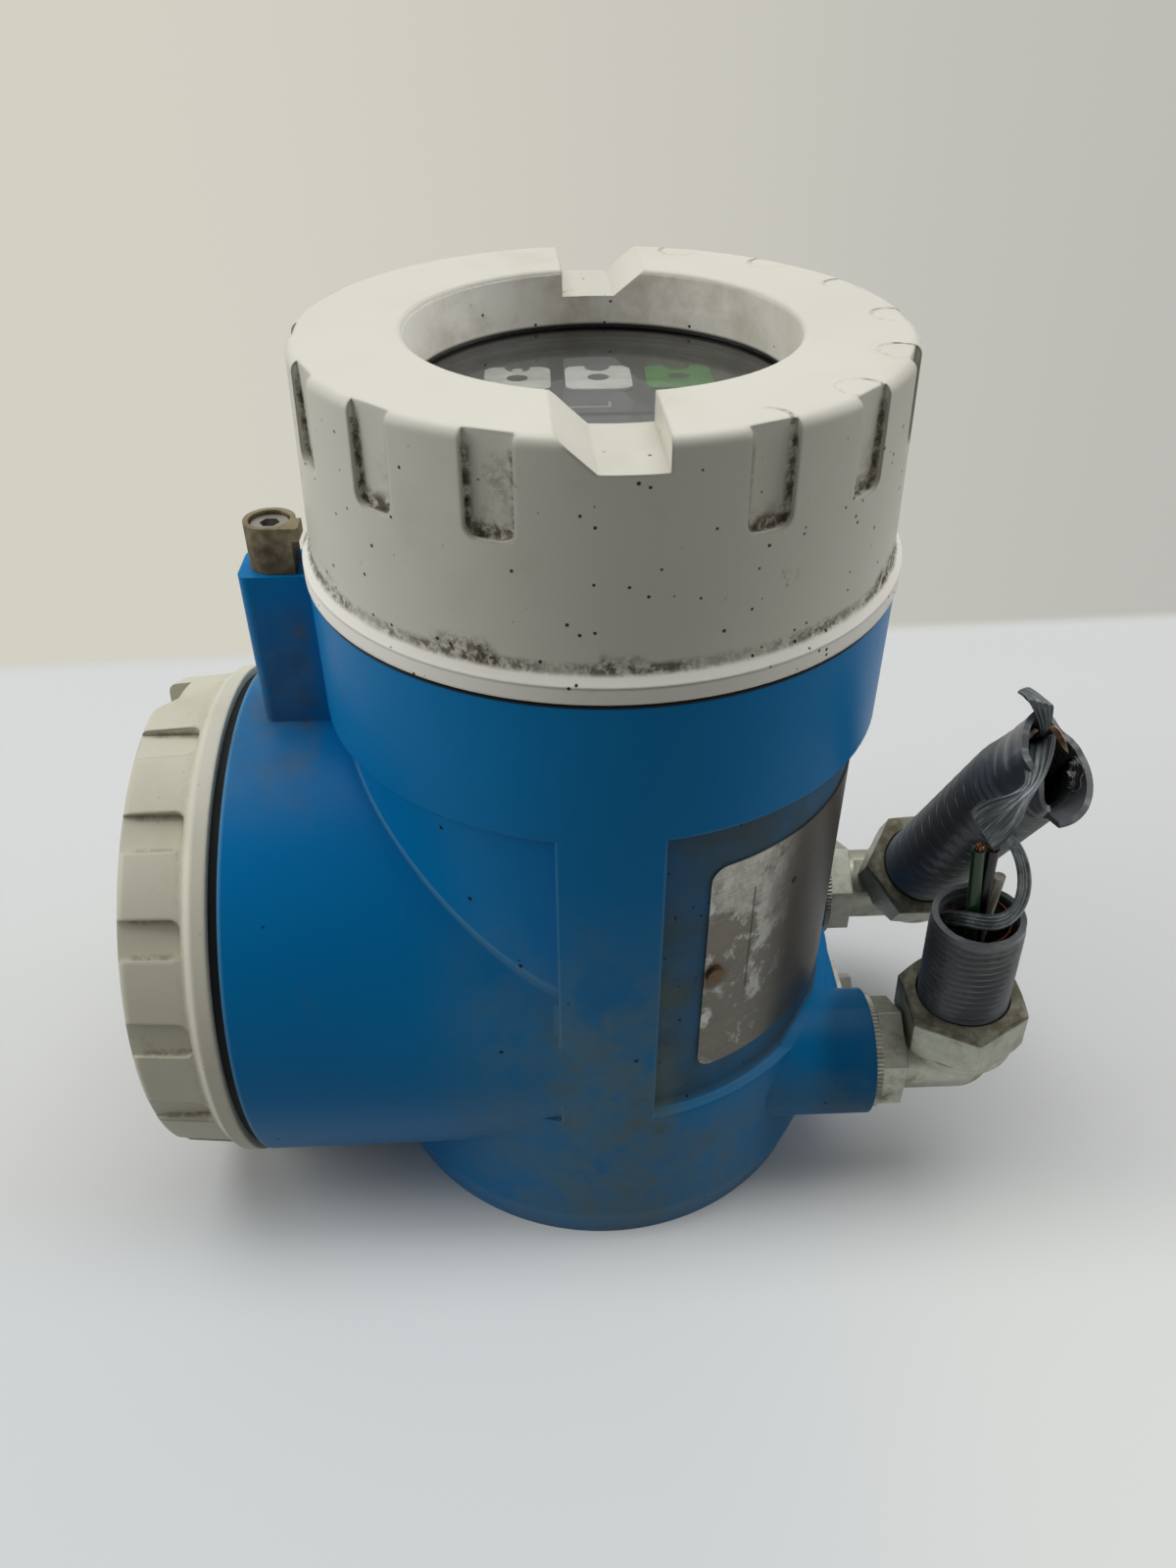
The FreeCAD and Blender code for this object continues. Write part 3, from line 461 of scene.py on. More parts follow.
# %% Metals
def old_metal(name, clean, stain, amount, rough, grain=300, edge=0.0, crust=None):
    """Aged metal; crust is a leg and the heights between which its stain becomes complete."""
    metal = Finish(name, Metallic=1.0)
    cloud = metal.noise(55, 3.0, detail=6, rough=0.65)
    fine = metal.noise(grain, 5.0, detail=4, rough=0.6)
    dull = cloud.ramp(0.62 - 0.3 * amount, 0.86 - 0.3 * amount) * (0.6 + 0.4 * fine.ramp(0.35, 0.65))
    if crust:
        stand, low, high = crust
        x, y, z = metal.axes()
        axis = stand.col[2]
        up = x * axis.x + y * axis.y + z * axis.z - stand.translation.dot(axis.xyz)
        dull = dull.most(up.ramp(low, high) * (0.55 + 0.4 * fine.ramp(0.35, 0.65)))
    bright = metal.mix(fine.ramp(0.3, 0.7), rgb(clean), rgb(stain))
    metal.set("Base Color", metal.mix(dull, metal.mix(0.75, bright, rgb(clean)), rgb(stain)))
    metal.set("Metallic", 1 - 0.8 * dull)
    metal.set("Roughness", rough + 0.3 * dull + 0.1 * fine)
    metal.relief(fine * 0.3 + cloud * 0.2, 0.00015, edge=edge)
    return metal


zinc = old_metal("zinc_plated_iron", "b6b7ab", "67634c", 0.45, rough=0.42, edge=0.0005)
dress(zinc, "entry_seals", "front_connector", "rear_connector")
for node, stand in (("front_nut", FRONT_LEG), ("rear_nut", REAR_LEG)):
    nut = old_metal(node + "_zinc", "b2b3a6", "625c46", 0.45, rough=0.42, edge=0.0005,
                    crust=(stand, 0.0195, 0.0206))
    dress(nut, node)
dress(old_metal("clamp_bronze", "a0957a", "5f543f", 0.75, rough=0.5, grain=420, edge=0.0004), "lock_clamp")
dress(old_metal("bright_screw_steel", "b9b7b0", "6d6658", 0.15, rough=0.3),
      "lock_screw", "terminal_screws", "carrier_screws", "earth_screw", "earth_clamp")
dress(old_metal("rusty_rivet", "7a6650", "43301f", 0.9, rough=0.6), "nameplate_rivets")
copper = old_metal("tarnished_copper", "8f5d44", "3c261b", 0.4, rough=0.36)
dress(copper, "front_bond", "front_ferrule", "rear_ferrule")
print("metals ready")

# %% [markdown]
# ## The weathered nameplate
# Its face is brushed stainless steel. Old film has gone brown grey, and where it has flaked the pale steel shows.
# The plate is bent round the drum, so its patterns are laid out by angle and height. The printing is left out: the
# plate keeps only a scribed line, one small hole and a spot of rust. Its right-hand part is painted darker, a painted
# reflection of the dark surroundings.

# %% Nameplate
PLATE_DEGREE = 0.00108      # metres round the plate for one degree


def plate_steel():
    plate = Finish("weathered_plate")
    x, y, z = plate.axes()
    angle = bearing(x, 0 - y) * DEGREES
    brush = plate.noise(160, 2.0, detail=3, stretch=(1, 1, 14))
    cloud = plate.noise(48, 7.0, detail=6, rough=0.68)
    flake = plate.noise(150, 3.0, detail=7, rough=0.78, stretch=(1, 1, 0.6))
    bare = (cloud + 0.35 * flake + 0.10 * z.ramp(0.085, 0.120)).ramp(0.68, 0.76) * angle.ramp(48, 32)
    film = 0.8 * (1 - bare)
    grey = plate.mix(brush.ramp(0.35, 0.65), rgb("8d8b86"), rgb("a5a29b"))
    brown = plate.mix(cloud.ramp(0.35, 0.65), rgb("766f60"), rgb("58534a"))
    colour = plate.mix(film, grey, brown)
    colour = plate.mix(bare * flake.ramp(0.42, 0.60), colour, rgb("b9b7b0"))
    # Painted reflection: the plate is darker beyond 35 degrees round, as the dark surroundings it reflects.
    colour = plate.mix(angle.ramp(35, 45) * 0.55, colour, rgb("262521"))
    line = abs(angle - 31.0).ramp(0.25, 0.12) * z.between(0.088, 0.120)
    hole = plate.length((angle - 43.2) * PLATE_DEGREE, z - 0.1145).ramp(0.0010, 0.0008)
    rust = plate.length((angle - 22.3) * PLATE_DEGREE, z - 0.0956).ramp(0.0052, 0.0024) * flake.ramp(0.3, 0.6)
    colour = plate.mix(rust * 0.9, colour, rgb("4a2f1c"))
    plate.set("Base Color", plate.mix(hole.most(line * 0.7), colour, rgb("171615")))
    plate.set("Metallic", 0.85 - 0.55 * film)
    plate.set("Roughness", 0.34 + 0.14 * film + 0.12 * bare)
    plate.relief(brush * 0.15 + bare * 0.2 - line * 0.5 - hole, 0.00015)
    return plate


dress(plate_steel(), "nameplate")
print("nameplate weathered")

# %% [markdown]
# ## Display face and window
# Behind the glass is a dark grey panel with a sunk screen and three touch keys: two pale ones and a green one.
# Each key has a dark sensor window in its middle and a bite out of its upper edge. These are flat prints on the
# real panel, so here they are masks in the key's own finish. A bright bead in the left key's bite is a painted glint.

# %% Display
KEY_Y = 0.0182
KEY_STEP = 0.0181


def key_print(name, pale, worn, sensor):
    face = Finish(name, Roughness=0.45)
    x, y = face.axes()[:2]
    across = (x / KEY_STEP).from_whole() * KEY_STEP
    window = face.length(across, (y - KEY_Y) * 1.15).ramp(0.0026, 0.0022)
    bite = face.length(across, y - KEY_Y - 0.0068).ramp(0.0031, 0.0027)
    # Painted glint: a bright spot in the left key's bite.
    bead_glint = face.length(across, y - KEY_Y - 0.0050).ramp(0.0016, 0.0010) * (x < -0.009)
    scuff = face.noise(420, 2.0, detail=5, rough=0.7, stretch=(0.35, 1, 1)).ramp(0.42, 0.66)
    colour = face.mix(scuff, rgb(pale), rgb(worn))
    colour = face.mix(window.most(bite), colour, rgb(sensor))
    face.set("Base Color", face.mix(bead_glint, colour, rgb("f6f2e8")))
    face.relief(scuff, 0.0001)
    return face


def panel_print():
    panel = Finish("dark_panel", Roughness=0.5)
    x, y = panel.axes()[:2]
    bar = x.between(-0.0069, 0.0020) * y.between(0.0013, 0.0018)
    end = x.between(0.0016, 0.0020) * y.between(0.0013, 0.0045)
    mottle = panel.noise(500, 1.0, detail=3)
    colour = panel.mix(mottle.ramp(0.3, 0.7), rgb("434344"), rgb("4b4b4c"))
    panel.set("Base Color", panel.mix(bar.most(end), colour, rgb("bdbdb9")))
    panel.relief(mottle, 0.00005)
    return panel


dress(key_print("pale_key", "fafaf2", "e2e2da", "4a4b4b"), "key_pads")
dress(key_print("green_key", "4a9f40", "3a8a34", "24481f"), "key_pad_green")
dress(panel_print(), "display_bezel")

screen = Finish("grey_screen", Roughness=0.12)
cells = screen.noise(2200, 1.0, detail=1)
screen.set("Base Color", screen.mix(cells.ramp(0.3, 0.7), rgb("4d5250"), rgb("565b58")))
dress(screen, "display_lcd")

glass = Finish("window_pane", Base_Color=(0.95, 0.97, 0.96, 1), Transmission_Weight=1.0, IOR=1.46)
glass.set("Roughness", 0.02 + 0.03 * glass.noise(30, 1.0).ramp(0.5, 0.8))
dress(glass, "window_glass")
print("display dressed")

# %% [markdown]
# ## Plastics, rubber, boards and wires
# The pieces inside the two compartments are ordinary mouldings and circuit boards. They are out of sight until a
# cover comes off, and then a plain but honest finish is enough: a fine spark texture for the mouldings and a pattern
# of pads and tracks for the boards.

# %% Mouldings
def moulding(name, colour, worn, rough, grain=700):
    plastic = Finish(name)
    spark = plastic.noise(grain, 4.0, detail=3)
    dust = plastic.noise(60, 2.0, detail=5, rough=0.65).ramp(0.5, 0.8)
    plastic.set("Base Color", plastic.mix(dust * 0.6, rgb(colour), rgb(worn)))
    plastic.set("Roughness", rough + 0.2 * dust)
    plastic.relief(spark, 0.00008)
    return plastic


def circuit_board():
    board = Finish("circuit_board", Roughness=0.4)
    pads = board.specks(260, 0.30, 0.35, 1.0)
    blocks = board.node("TexVoronoi", {"distance": "CHEBYCHEV"}, {"Vector": board.place, "Scale": 70}, out="Color")
    chips = board.node("SeparateColor", sockets={0: blocks}) > 0.72
    colour = board.mix(chips, rgb("1b5130"), rgb("1d1e1f"))
    board.set("Base Color", board.mix(pads * 0.8, colour, rgb("b8ab7c")))
    board.set("Metallic", pads * 0.6)
    board.relief(chips + pads * 0.2, 0.0003)
    return board


rubber = moulding("black_rubber", "070707", "161512", 0.75)
dress(rubber, "display_seal", "terminal_seal", "front_gland_ring", "rear_gland_ring")
dress(moulding("black_moulding", "212224", "34332f", 0.5),
      "display_holder", "board_carrier", "feed_through", "terminal_carrier")
# Painted light: the window ring gets a paler grey so it looks no darker than the panel, though it lies in shade.
dress(moulding("window_ring_grey", "66676a", "5a5a58", 0.5), "window_ring")
dress(moulding("terminal_green", "2c6b3a", "4b6b4a", 0.45), "signal_terminals", "power_terminals")
dress(circuit_board(), "display_board", "power_board", "amplifier_board", "io_board")
dress(moulding("green_insulation", "08380f", "24462a", 0.34, 300), "wire_green")
dress(moulding("black_insulation", "060606", "1a1917", 0.4, 300), "wire_black")
dress(moulding("white_insulation", "c9c5b4", "8f8872", 0.4, 300), "wire_white")
print("mouldings, boards and wires dressed")

# %% [markdown]
# ## Geometry recipes
# The conduit is a steel strip wound into a hose, with a plastic jacket drawn over it, so its ribs are a helix. That
# is a rule, and Geometry Nodes are made for rules. `Recipe` is a geometry tree with named inputs. It is run once
# for each piece, and the result is kept as a plain mesh.

# %% Recipe
class Recipe(Graph):
    """A Geometry Nodes tree with named number inputs and one mesh output."""

    def __init__(self, name, *sizes):
        super().__init__(bpy.data.node_groups.new(name, "GeometryNodeTree"))
        interface = self.tree.interface
        self.inputs = {}
        for size in sizes:
            self.inputs[size] = interface.new_socket(size, in_out="INPUT", socket_type="NodeSocketFloat")
        interface.new_socket("Mesh", in_out="OUTPUT", socket_type="NodeSocketGeometry")
        self.entry = self.tree.nodes.new("NodeGroupInput")

    def size(self, name):
        return Value(self, self.entry.outputs[name])

    def sizes(self, *names):
        return [self.size(name) for name in names]

    def sheet(self, columns, rows):
        """Flat grid, and how far along it each point is in both directions, from 0 to 1."""
        grid = self.node("GeometryNodeMeshGrid",
                         sockets={"Size X": 1.0, "Size Y": 1.0, "Vertices X": columns, "Vertices Y": rows})
        x, y = self.parts(self.node("GeometryNodeInputPosition"))[:2]
        return grid, x + 0.5, y + 0.5

    def wrap(self, grid, angle, radius, height):
        """Bend a grid round the Z axis and close the seam where it meets itself."""
        place = self.node("CombineXYZ", sockets={0: angle.wave("COSINE") * radius, 1: angle.wave("SINE") * radius,
                                                 2: height})
        bent = self.node("GeometryNodeSetPosition", sockets={"Geometry": grid, "Position": place})
        return self.node("GeometryNodeMergeByDistance", sockets={"Geometry": bent, "Distance": 1e-5})

    def deliver(self, geometry, finish):
        whole = self.node("GeometryNodeRealizeInstances", sockets={0: geometry})
        done = self.node("GeometryNodeSetMaterial", sockets={"Geometry": whole, "Material": finish.material})
        self.feed(self.tree.nodes.new("NodeGroupOutput").inputs[0], done)

    def make(self, name, place, thick=0.0, **values):
        """Run the recipe with these sizes in metres and keep the mesh in its place."""
        piece = bpy.data.objects.new(name, bpy.data.meshes.new(name))
        scene.collection.objects.link(piece)
        modifier = piece.modifiers.new("recipe", "NODES")
        modifier.node_group = self.tree
        for size, value in values.items():
            modifier[self.inputs[size].identifier] = float(value)
        return settled(piece, place, thick)


def settled(piece, place, thick=0.0):
    """Give a sheet its thickness, turn its modifiers into plain mesh and move that mesh into place."""
    if thick:
        wall = piece.modifiers.new("wall", "SOLIDIFY")
        wall.thickness = thick
        wall.offset = -1
    evaluated = piece.evaluated_get(bpy.context.evaluated_depsgraph_get())
    mesh = bpy.data.meshes.new_from_object(evaluated)
    mesh.transform(place)
    mesh.shade_smooth()
    mesh.set_sharp_from_angle(angle=math.radians(38))
    piece.modifiers.clear()
    piece.data = mesh
    print(piece.name, len(mesh.polygons), "faces")
    return piece


print("geometry recipes ready")

# %% [markdown]
# ## Ribbed conduit jackets
# Each jacket is one grid rolled into a tube. Its ribs are a cosine along the tube whose phase turns once a round,
# which makes a helix. The far end is plain, because there the strip inside has gone. The seam of the rear jacket
# lies where it is torn, and the points beside it are opened outwards, so the tear is simply a seam left open.

# %% Jackets
def jacket_finish():
    skin = Finish("conduit_skin", Coat_Weight=0.35, Coat_Roughness=0.22)
    scuff = skin.noise(40, 3.0, detail=6, rough=0.7)
    fine = skin.noise(400, 5.0, detail=4)
    pale = scuff.ramp(0.50, 0.72) * fine.ramp(0.35, 0.6)
    skin.set("Base Color", skin.mix(pale * 0.6, rgb("5a5f63"), rgb("8b8d8b")))
    skin.set("Roughness", 0.36 + 0.25 * pale)
    skin.relief(fine * 0.3 + pale * 0.3, 0.00012)
    return skin


def jacket_recipe(finish):
    tree = Recipe("ribbed_jacket", "Radius", "Low", "High", "Pitch", "Rib", "Plain", "Seam", "Lip Share",
                  "Lip Length", "Flare", "Reach", "Press", "Ragged", "Rows")
    (radius, low, high, pitch, rib, plain, seam, share,
     lip, flare, reach, press, ragged, rows) = tree.sizes(*tree.inputs)
    grid, around, along = tree.sheet(129, rows)
    angle = seam + around * TURN
    opened = around.ramp(share, 0.0)
    whole = around.ramp(share, share + 0.16) * around.ramp(1.0, 0.86)
    pressed = around.ramp(share + 0.10, share + 0.34) * around.ramp(1.0, 0.86)
    level = low + (high - low) * along
    end = level.ramp(high - plain, high)
    ring = tree.node("CombineXYZ", sockets={0: angle.wave("COSINE"), 1: angle.wave("SINE")})
    tatter = tree.node("TexNoise", {"noise_dimensions": "4D"},
                       {"Vector": ring, "W": 3.0, "Scale": 2.4, "Detail": 3.0})
    height = level + end * ((tatter - 0.5) * ragged + lip * opened + reach * whole)
    ribs = (TURN * (level / pitch - around)).wave("COSINE") * (1 - end) - 1
    spread = end * end * flare * opened * opened - level.ramp(high - 2 * plain, high) * press * pressed
    tree.deliver(tree.wrap(grid, angle, radius + rib * ribs + spread, height), finish)
    return tree


jackets = jacket_recipe(jacket_finish())
hose = {"thick": 1.6 * MM, "Radius": 11.9 * MM, "Low": 15 * MM, "Pitch": 2.1 * MM, "Rib": 0.32 * MM}
tear = {"Seam": math.radians(-84), "Lip Share": 0.36, "Lip Length": 2 * MM, "Flare": 4.6 * MM, "Reach": 9 * MM,
        "Press": 4 * MM}
front_jacket = jackets.make("front_jacket_ribbed", FRONT_LEG, High=51 * MM, Plain=3.5 * MM, Ragged=0.6 * MM,
                            Rows=86, **hose)
rear_jacket = jackets.make("rear_jacket_ribbed", REAR_LEG, High=109.5 * MM, Plain=7 * MM, Ragged=1.6 * MM,
                           Rows=212, **hose, **tear)
for piece, node in ((front_jacket, "front_jacket"), (rear_jacket, "rear_jacket")):
    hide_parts(node)
    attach(piece, "housing")

# %% [markdown]
# ## The steel strip inside
# The strip lines both stubs, and a copper bonding strip lies in the front one. Each is a narrow grid wound round
# the axis more than once. The rear stub's liner comes later, behind its torn strips, and so does the loop that
# springs out of the front stub, which follows no such rule.

# %% Wound strips
def strip_finish():
    steel = Finish("galvanised_strip", Metallic=0.85)
    fine = steel.noise(260, 3.0, detail=5, rough=0.7)
    cloud = steel.noise(60, 6.0, detail=4)
    colour = steel.mix(fine.ramp(0.35, 0.65), rgb("5d6468"), rgb("8f9698"))
    steel.set("Base Color", steel.mix(cloud.ramp(0.5, 0.75) * 0.7, colour, rgb("33383b")))
    steel.set("Roughness", 0.3 + 0.25 * cloud)
    steel.relief(fine, 0.0001)
    return steel


def coil_recipe(name, finish):
    tree = Recipe(name, "Radius", "Base", "Turns", "Pitch", "Width", "Ridge", "Ridges")
    radius, base, turns, pitch, width, ridge, ridges = tree.sizes(*tree.inputs)
    grid, around, across = tree.sheet(turns * 48 + 1, 17)
    height = base + pitch * turns * around + width * (across - 0.5)
    wavy = radius + ridge * (across * ridges * TURN).wave("COSINE")
    tree.deliver(tree.wrap(grid, around * turns * TURN, wavy, height), finish)
    return tree


strip_steel = strip_finish()
steel_coils = coil_recipe("sprung_steel", strip_steel)
copper_coils = coil_recipe("bonding_strip", copper)
winding = {"thick": 0.5 * MM, "Radius": 9.9 * MM, "Base": 16.5 * MM, "Pitch": 3.1 * MM, "Width": 3.1 * MM,
           "Ridge": 0.2 * MM, "Ridges": 1}
tube = steel_coils.make("front_core_liner", FRONT_LEG, Turns=10, **winding)
bond = copper_coils.make("front_bond_strip", FRONT_LEG, thick=0.3 * MM, Radius=8.2 * MM, Base=44.5 * MM, Turns=1.2,
                         Pitch=4.5 * MM, Width=1.8 * MM)
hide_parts("front_bond")
for piece, slot in ((tube, "conduit_steel"), (bond, "bond_copper")):
    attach(piece, "housing")

# %% [markdown]
# ## Cut wires
# The cut wires lean apart where they leave the stub. A wire's straight run has points only at its two ends, so moving
# the points near the free end tilts the whole run. The copy's loose triangles are joined first.

# %% Leaning wires
WIRE_ROOT = 12 * MM
WIRE_RUN = 62 * MM


def leaning_wire(name, node, move):
    """Copy of a wire whose free end is moved, in millimetres in the frame of the front leg."""
    shape = bmesh.new()
    shape.from_mesh(nodes[node].data)
    bmesh.ops.remove_doubles(shape, verts=shape.verts, dist=1e-6)
    inward = FRONT_LEG.inverted()
    for vert in shape.verts:
        share = ((inward @ vert.co).z - WIRE_ROOT) / WIRE_RUN
        vert.co += FRONT_LEG.to_3x3() @ Vector(move) * MM * max(0.0, share)
    mesh = bpy.data.meshes.new(name)
    shape.to_mesh(mesh)
    shape.free()
    mesh.materials.append(nodes[node].data.materials[0])
    piece = bpy.data.objects.new(name, mesh)
    scene.collection.objects.link(piece)
    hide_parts(node)
    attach(piece, "housing")
    return piece


green_wire = leaning_wire("green_wire_leaning", "wire_green", (-3.9, 2.7, 0))
white_wire = leaning_wire("white_wire_leaning", "wire_white", (4.2, -2.6, -4))
print("wires lean apart:", green_wire.name, white_wire.name)

# %% [markdown]
# ## Knurled rings and bare strands
# Between each boss and its elbow sits a sealing ring with a knurled rim. It is a rectangle turned round the axis,
# whose outer corners rise and fall once for each tooth, and one ring stands on each of two points. The cut wires
# end in bare copper. That is one thin rod, repeated on points laid out like the seeds of a sunflower, each with
# a small lean of its own.

# %% Rings and strands
SUNFLOWER_ANGLE = 2.4       # radians from one seed to the next


def ring_recipe(finish):
    tree = Recipe("knurled_ring", "Inner", "Outer", "Thick", "Teeth", "Depth", "Spacing")
    inner, outer, thick, teeth, depth, spacing = tree.sizes(*tree.inputs)
    grid, around, along = tree.sheet(teeth * 6 + 1, 5)
    rim = along.between(0.2, 0.6)
    far = along.between(0.4, 0.8)
    knurl = ((around * teeth * TURN).wave("COSINE") - 1) * depth * 0.5
    ring = tree.wrap(grid, around * TURN, inner + (outer + knurl - inner) * rim, thick * far)
    offset = (tree.node("GeometryNodeInputIndex") - 0.5) * spacing
    spot = tree.node("CombineXYZ", sockets={1: offset})
    pair = tree.node("GeometryNodePoints", sockets={"Count": 2, "Position": spot})
    tree.deliver(tree.node("GeometryNodeInstanceOnPoints", sockets={"Points": pair, "Instance": ring}), finish)
    return tree


def strand_recipe(finish):
    tree = Recipe("bare_strands", "Count", "Spread", "Thick", "Length")
    count, spread, thick, length = tree.sizes(*tree.inputs)
    index = tree.node("GeometryNodeInputIndex")
    angle = index * SUNFLOWER_ANGLE
    reach = ((index + 0.5) / count) ** 0.5 * spread
    spot = tree.node("CombineXYZ", sockets={0: angle.wave("COSINE") * reach, 1: angle.wave("SINE") * reach})
    points = tree.node("GeometryNodePoints", sockets={"Count": count, "Position": spot})
    rod = tree.node("GeometryNodeMeshCylinder", sockets={"Vertices": 8, "Radius": thick / 2, "Depth": length})
    lean = tree.node("FunctionNodeRandomValue", {"data_type": "FLOAT_VECTOR"},
                     {0: (-0.25, -0.25, 0), 1: (0.25, 0.25, 0), "Seed": 5})
    tree.deliver(tree.node("GeometryNodeInstanceOnPoints",
                           sockets={"Points": points, "Instance": rod, "Rotation": lean}), finish)
    return tree


boss_faces = Matrix.Translation((0.0715, 0, 0.0392)) @ Matrix.Rotation(math.radians(90), 4, "Y")
rings = ring_recipe(zinc).make("entry_seal_rings", boss_faces, Inner=10.2 * MM, Outer=15.5 * MM, Thick=2.2 * MM,
                               Teeth=84, Depth=0.5 * MM, Spacing=68 * MM)
strands = strand_recipe(copper)
bunch = {"Count": 19, "Spread": 1.15 * MM, "Thick": 0.46 * MM, "Length": 2.4 * MM}
black_tip = FRONT_LEG @ Matrix.Translation((0, 0, 73.2 * MM))
green_tip = FRONT_LEG @ Matrix.Translation((-3.9 * MM, -0.9 * MM, 74.2 * MM))
black_end = strands.make("black_wire_strands", black_tip, **bunch)
green_end = strands.make("green_wire_strands", green_tip, **bunch)
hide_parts("entry_seals")
for piece, slot in ((rings, "fitting_iron"), (black_end, "bond_copper"), (green_end, "bond_copper")):
    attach(piece, "housing")

# %% [markdown]
# ## Torn and sprung strips
# The strip of the rear stub has been ripped: a tab stands up and curls over, and a longer piece folds across the
# mouth and ends in a broad flat tongue. A dark scrap of lining hangs beside them, and the bonding strip glints
# behind. At the front stub the strip has sprung up in one loop. Each is a ribbon through a few listed rows,
# made smooth with a Subdivision Surface and given its thickness with Solidify.

# %% Torn strips
def torn_finish():
    sheet = Finish("torn_strip", Metallic=0.5)
    drawn = sheet.node("Mapping", sockets={"Vector": sheet.node("UVMap", {"uv_map": "strip"}), "Scale": (22, 5, 1)})
    scratch = sheet.node("TexNoise", sockets={"Vector": drawn, "Scale": 1.0, "Detail": 4.0, "Roughness": 0.6})
    patch = sheet.noise(110, 3.0, detail=4)
    worn = scratch.ramp(0.40, 0.66) * (0.5 + 0.5 * patch.ramp(0.4, 0.6))
    sheet.set("Base Color", sheet.mix(worn, rgb("4a5156"), rgb("969c9c")))
    sheet.set("Roughness", 0.32 + 0.2 * patch)
    sheet.relief(scratch, 0.0001)
    return sheet


def ribbon(name, place, rows, finish, thick, crown, ridge=0.0):
    """Curved strip through (centre, half width) rows in millimetres, bowed across by a crown and ridged."""
    columns = 17
    points = []
    for i in range(len(rows)):
        centre, side = (Vector(v) for v in rows[i])
        ahead = Vector(rows[min(i + 1, len(rows) - 1)][0]) - Vector(rows[max(i - 1, 0)][0])
        bow = side.cross(ahead).normalized()
        for k in range(columns):
            s = 2 * k / (columns - 1) - 1
            swell = crown * (1 - s * s) + ridge * math.cos(4 * math.pi * s)
            points.append((centre + side * s + bow * swell) * MM)
    faces = []
    for i in range(len(rows) - 1):
        for k in range(columns - 1):
            a = i * columns + k
            faces.append((a, a + 1, a + columns + 1, a + columns))
    mesh = bpy.data.meshes.new(name)
    mesh.from_pydata(points, [], faces)
    mesh.materials.append(finish.material)
    chart = mesh.uv_layers.new(name="strip")
    for corner in mesh.loops:
        row, column = divmod(corner.vertex_index, columns)
        chart.data[corner.index].uv = (column / (columns - 1), row / (len(rows) - 1))
    piece = bpy.data.objects.new(name, mesh)
    scene.collection.objects.link(piece)
    smooth = piece.modifiers.new("smooth", "SUBSURF")
    smooth.levels = smooth.render_levels = 2
    return settled(piece, place, thick)


print("ribbons ready")

# %% Rows of the ribbons
TAB = (
    ((1.9, 9.2, 92.0), (1.5, -0.3, 0)), ((1.5, 8.3, 103.0), (1.4, -0.3, 0)),
    ((0.9, 6.9, 111.6), (0.9, 0.3, 0.2)), ((0.0, 5.7, 115.6), (0.9, 0.7, 0.3)),
    ((-0.7, 7.8, 118.3), (1.5, -0.1, 0)), ((-2.2, 9.7, 121.2), (2.4, -0.2, 0.1)),
    ((-3.1, 10.8, 122.6), (3.0, -0.7, -0.1)), ((-3.5, 12.4, 121.3), (2.9, -0.7, -0.4)),
    ((-3.9, 14.4, 119.6), (2.5, -0.1, -0.4)), ((-4.7, 16.0, 118.3), (1.7, 0.7, -0.4)),
)
TONGUE = (
    ((3.4, 8.7, 92.0), (1.8, -0.7, 0.3)), ((2.6, 8.2, 103.0), (1.8, -0.4, 1.0)),
    ((0.7, 5.7, 112.3), (2.8, 1.2, 1.2)), ((-1.0, 3.4, 114.4), (3.1, 1.1, 1.6)),
    ((-2.8, -0.1, 116.7), (3.1, 0.9, 1.5)), ((-4.8, -4.4, 118.8), (2.4, 0.5, 1.4)),
    ((-7.1, -8.4, 120.9), (1.5, -0.1, 0.6)), ((-9.9, -10.8, 122.2), (1.9, -0.2, 0)),
    ((-12.3, -12.7, 122.1), (2.3, -1.1, 0)), ((-14.5, -14.5, 121.7), (3.3, -2.5, 0)),
    ((-16.9, -16.2, 120.7), (3.1, -3.9, -0.2)), ((-18.6, -17.6, 119.7), (2.6, -4.4, -0.2)),
    ((-19.6, -18.6, 119.0), (2.3, -4.5, -0.2)), ((-19.9, -18.9, 118.8), (2.2, -4.4, -0.2)),
)
LOOP = (
    ((-8.4, 4.2, 45.5), (0.2, 0, 2.2)), ((-8.2, 0.8, 50.0), (0.3, 0.1, 2.2)),
    ((-5.4, -3.6, 53.8), (0.2, 0.2, 2.2)), ((-1.6, -6.0, 54.2), (0, 0.4, 2.2)),
    ((2.2, -6.5, 54.2), (0, 0.5, 2.2)), ((5.8, -5.4, 55.0), (-0.3, 0.5, 2.3)),
    ((8.6, -2.8, 57.2), (-1.2, 0.4, 2.3)), ((10.2, 0.6, 60.6), (-1.9, 0.2, 2.0)),
    ((9.7, 3.8, 65.0), (-2.2, -0.4, 1.6)), ((7.4, 5.6, 69.6), (-2.2, -0.8, 1.2)),
    ((4.4, 6.0, 73.0), (-1.6, -1.2, 1.0)),
)
SCRAP = (
    ((9.0, 0.0, 93.0), (0.3, 1.6, 0)), ((8.2, 0.2, 104.0), (0.6, 1.8, 0)),
    ((7.2, 0.6, 111.2), (0.9, 1.0, 0.2)), ((6.6, -0.8, 113.9), (1.4, 0.9, -0.9)),
    ((7.2, -2.6, 112.6), (2.1, -0.2, 0.7)), ((6.2, -4.6, 113.2), (1.3, 0.5, -1.1)),
    ((6.8, -6.0, 111.6), (1.4, -0.3, 0.3)), ((5.9, -7.2, 111.0), (0.5, -0.1, 0)),
)
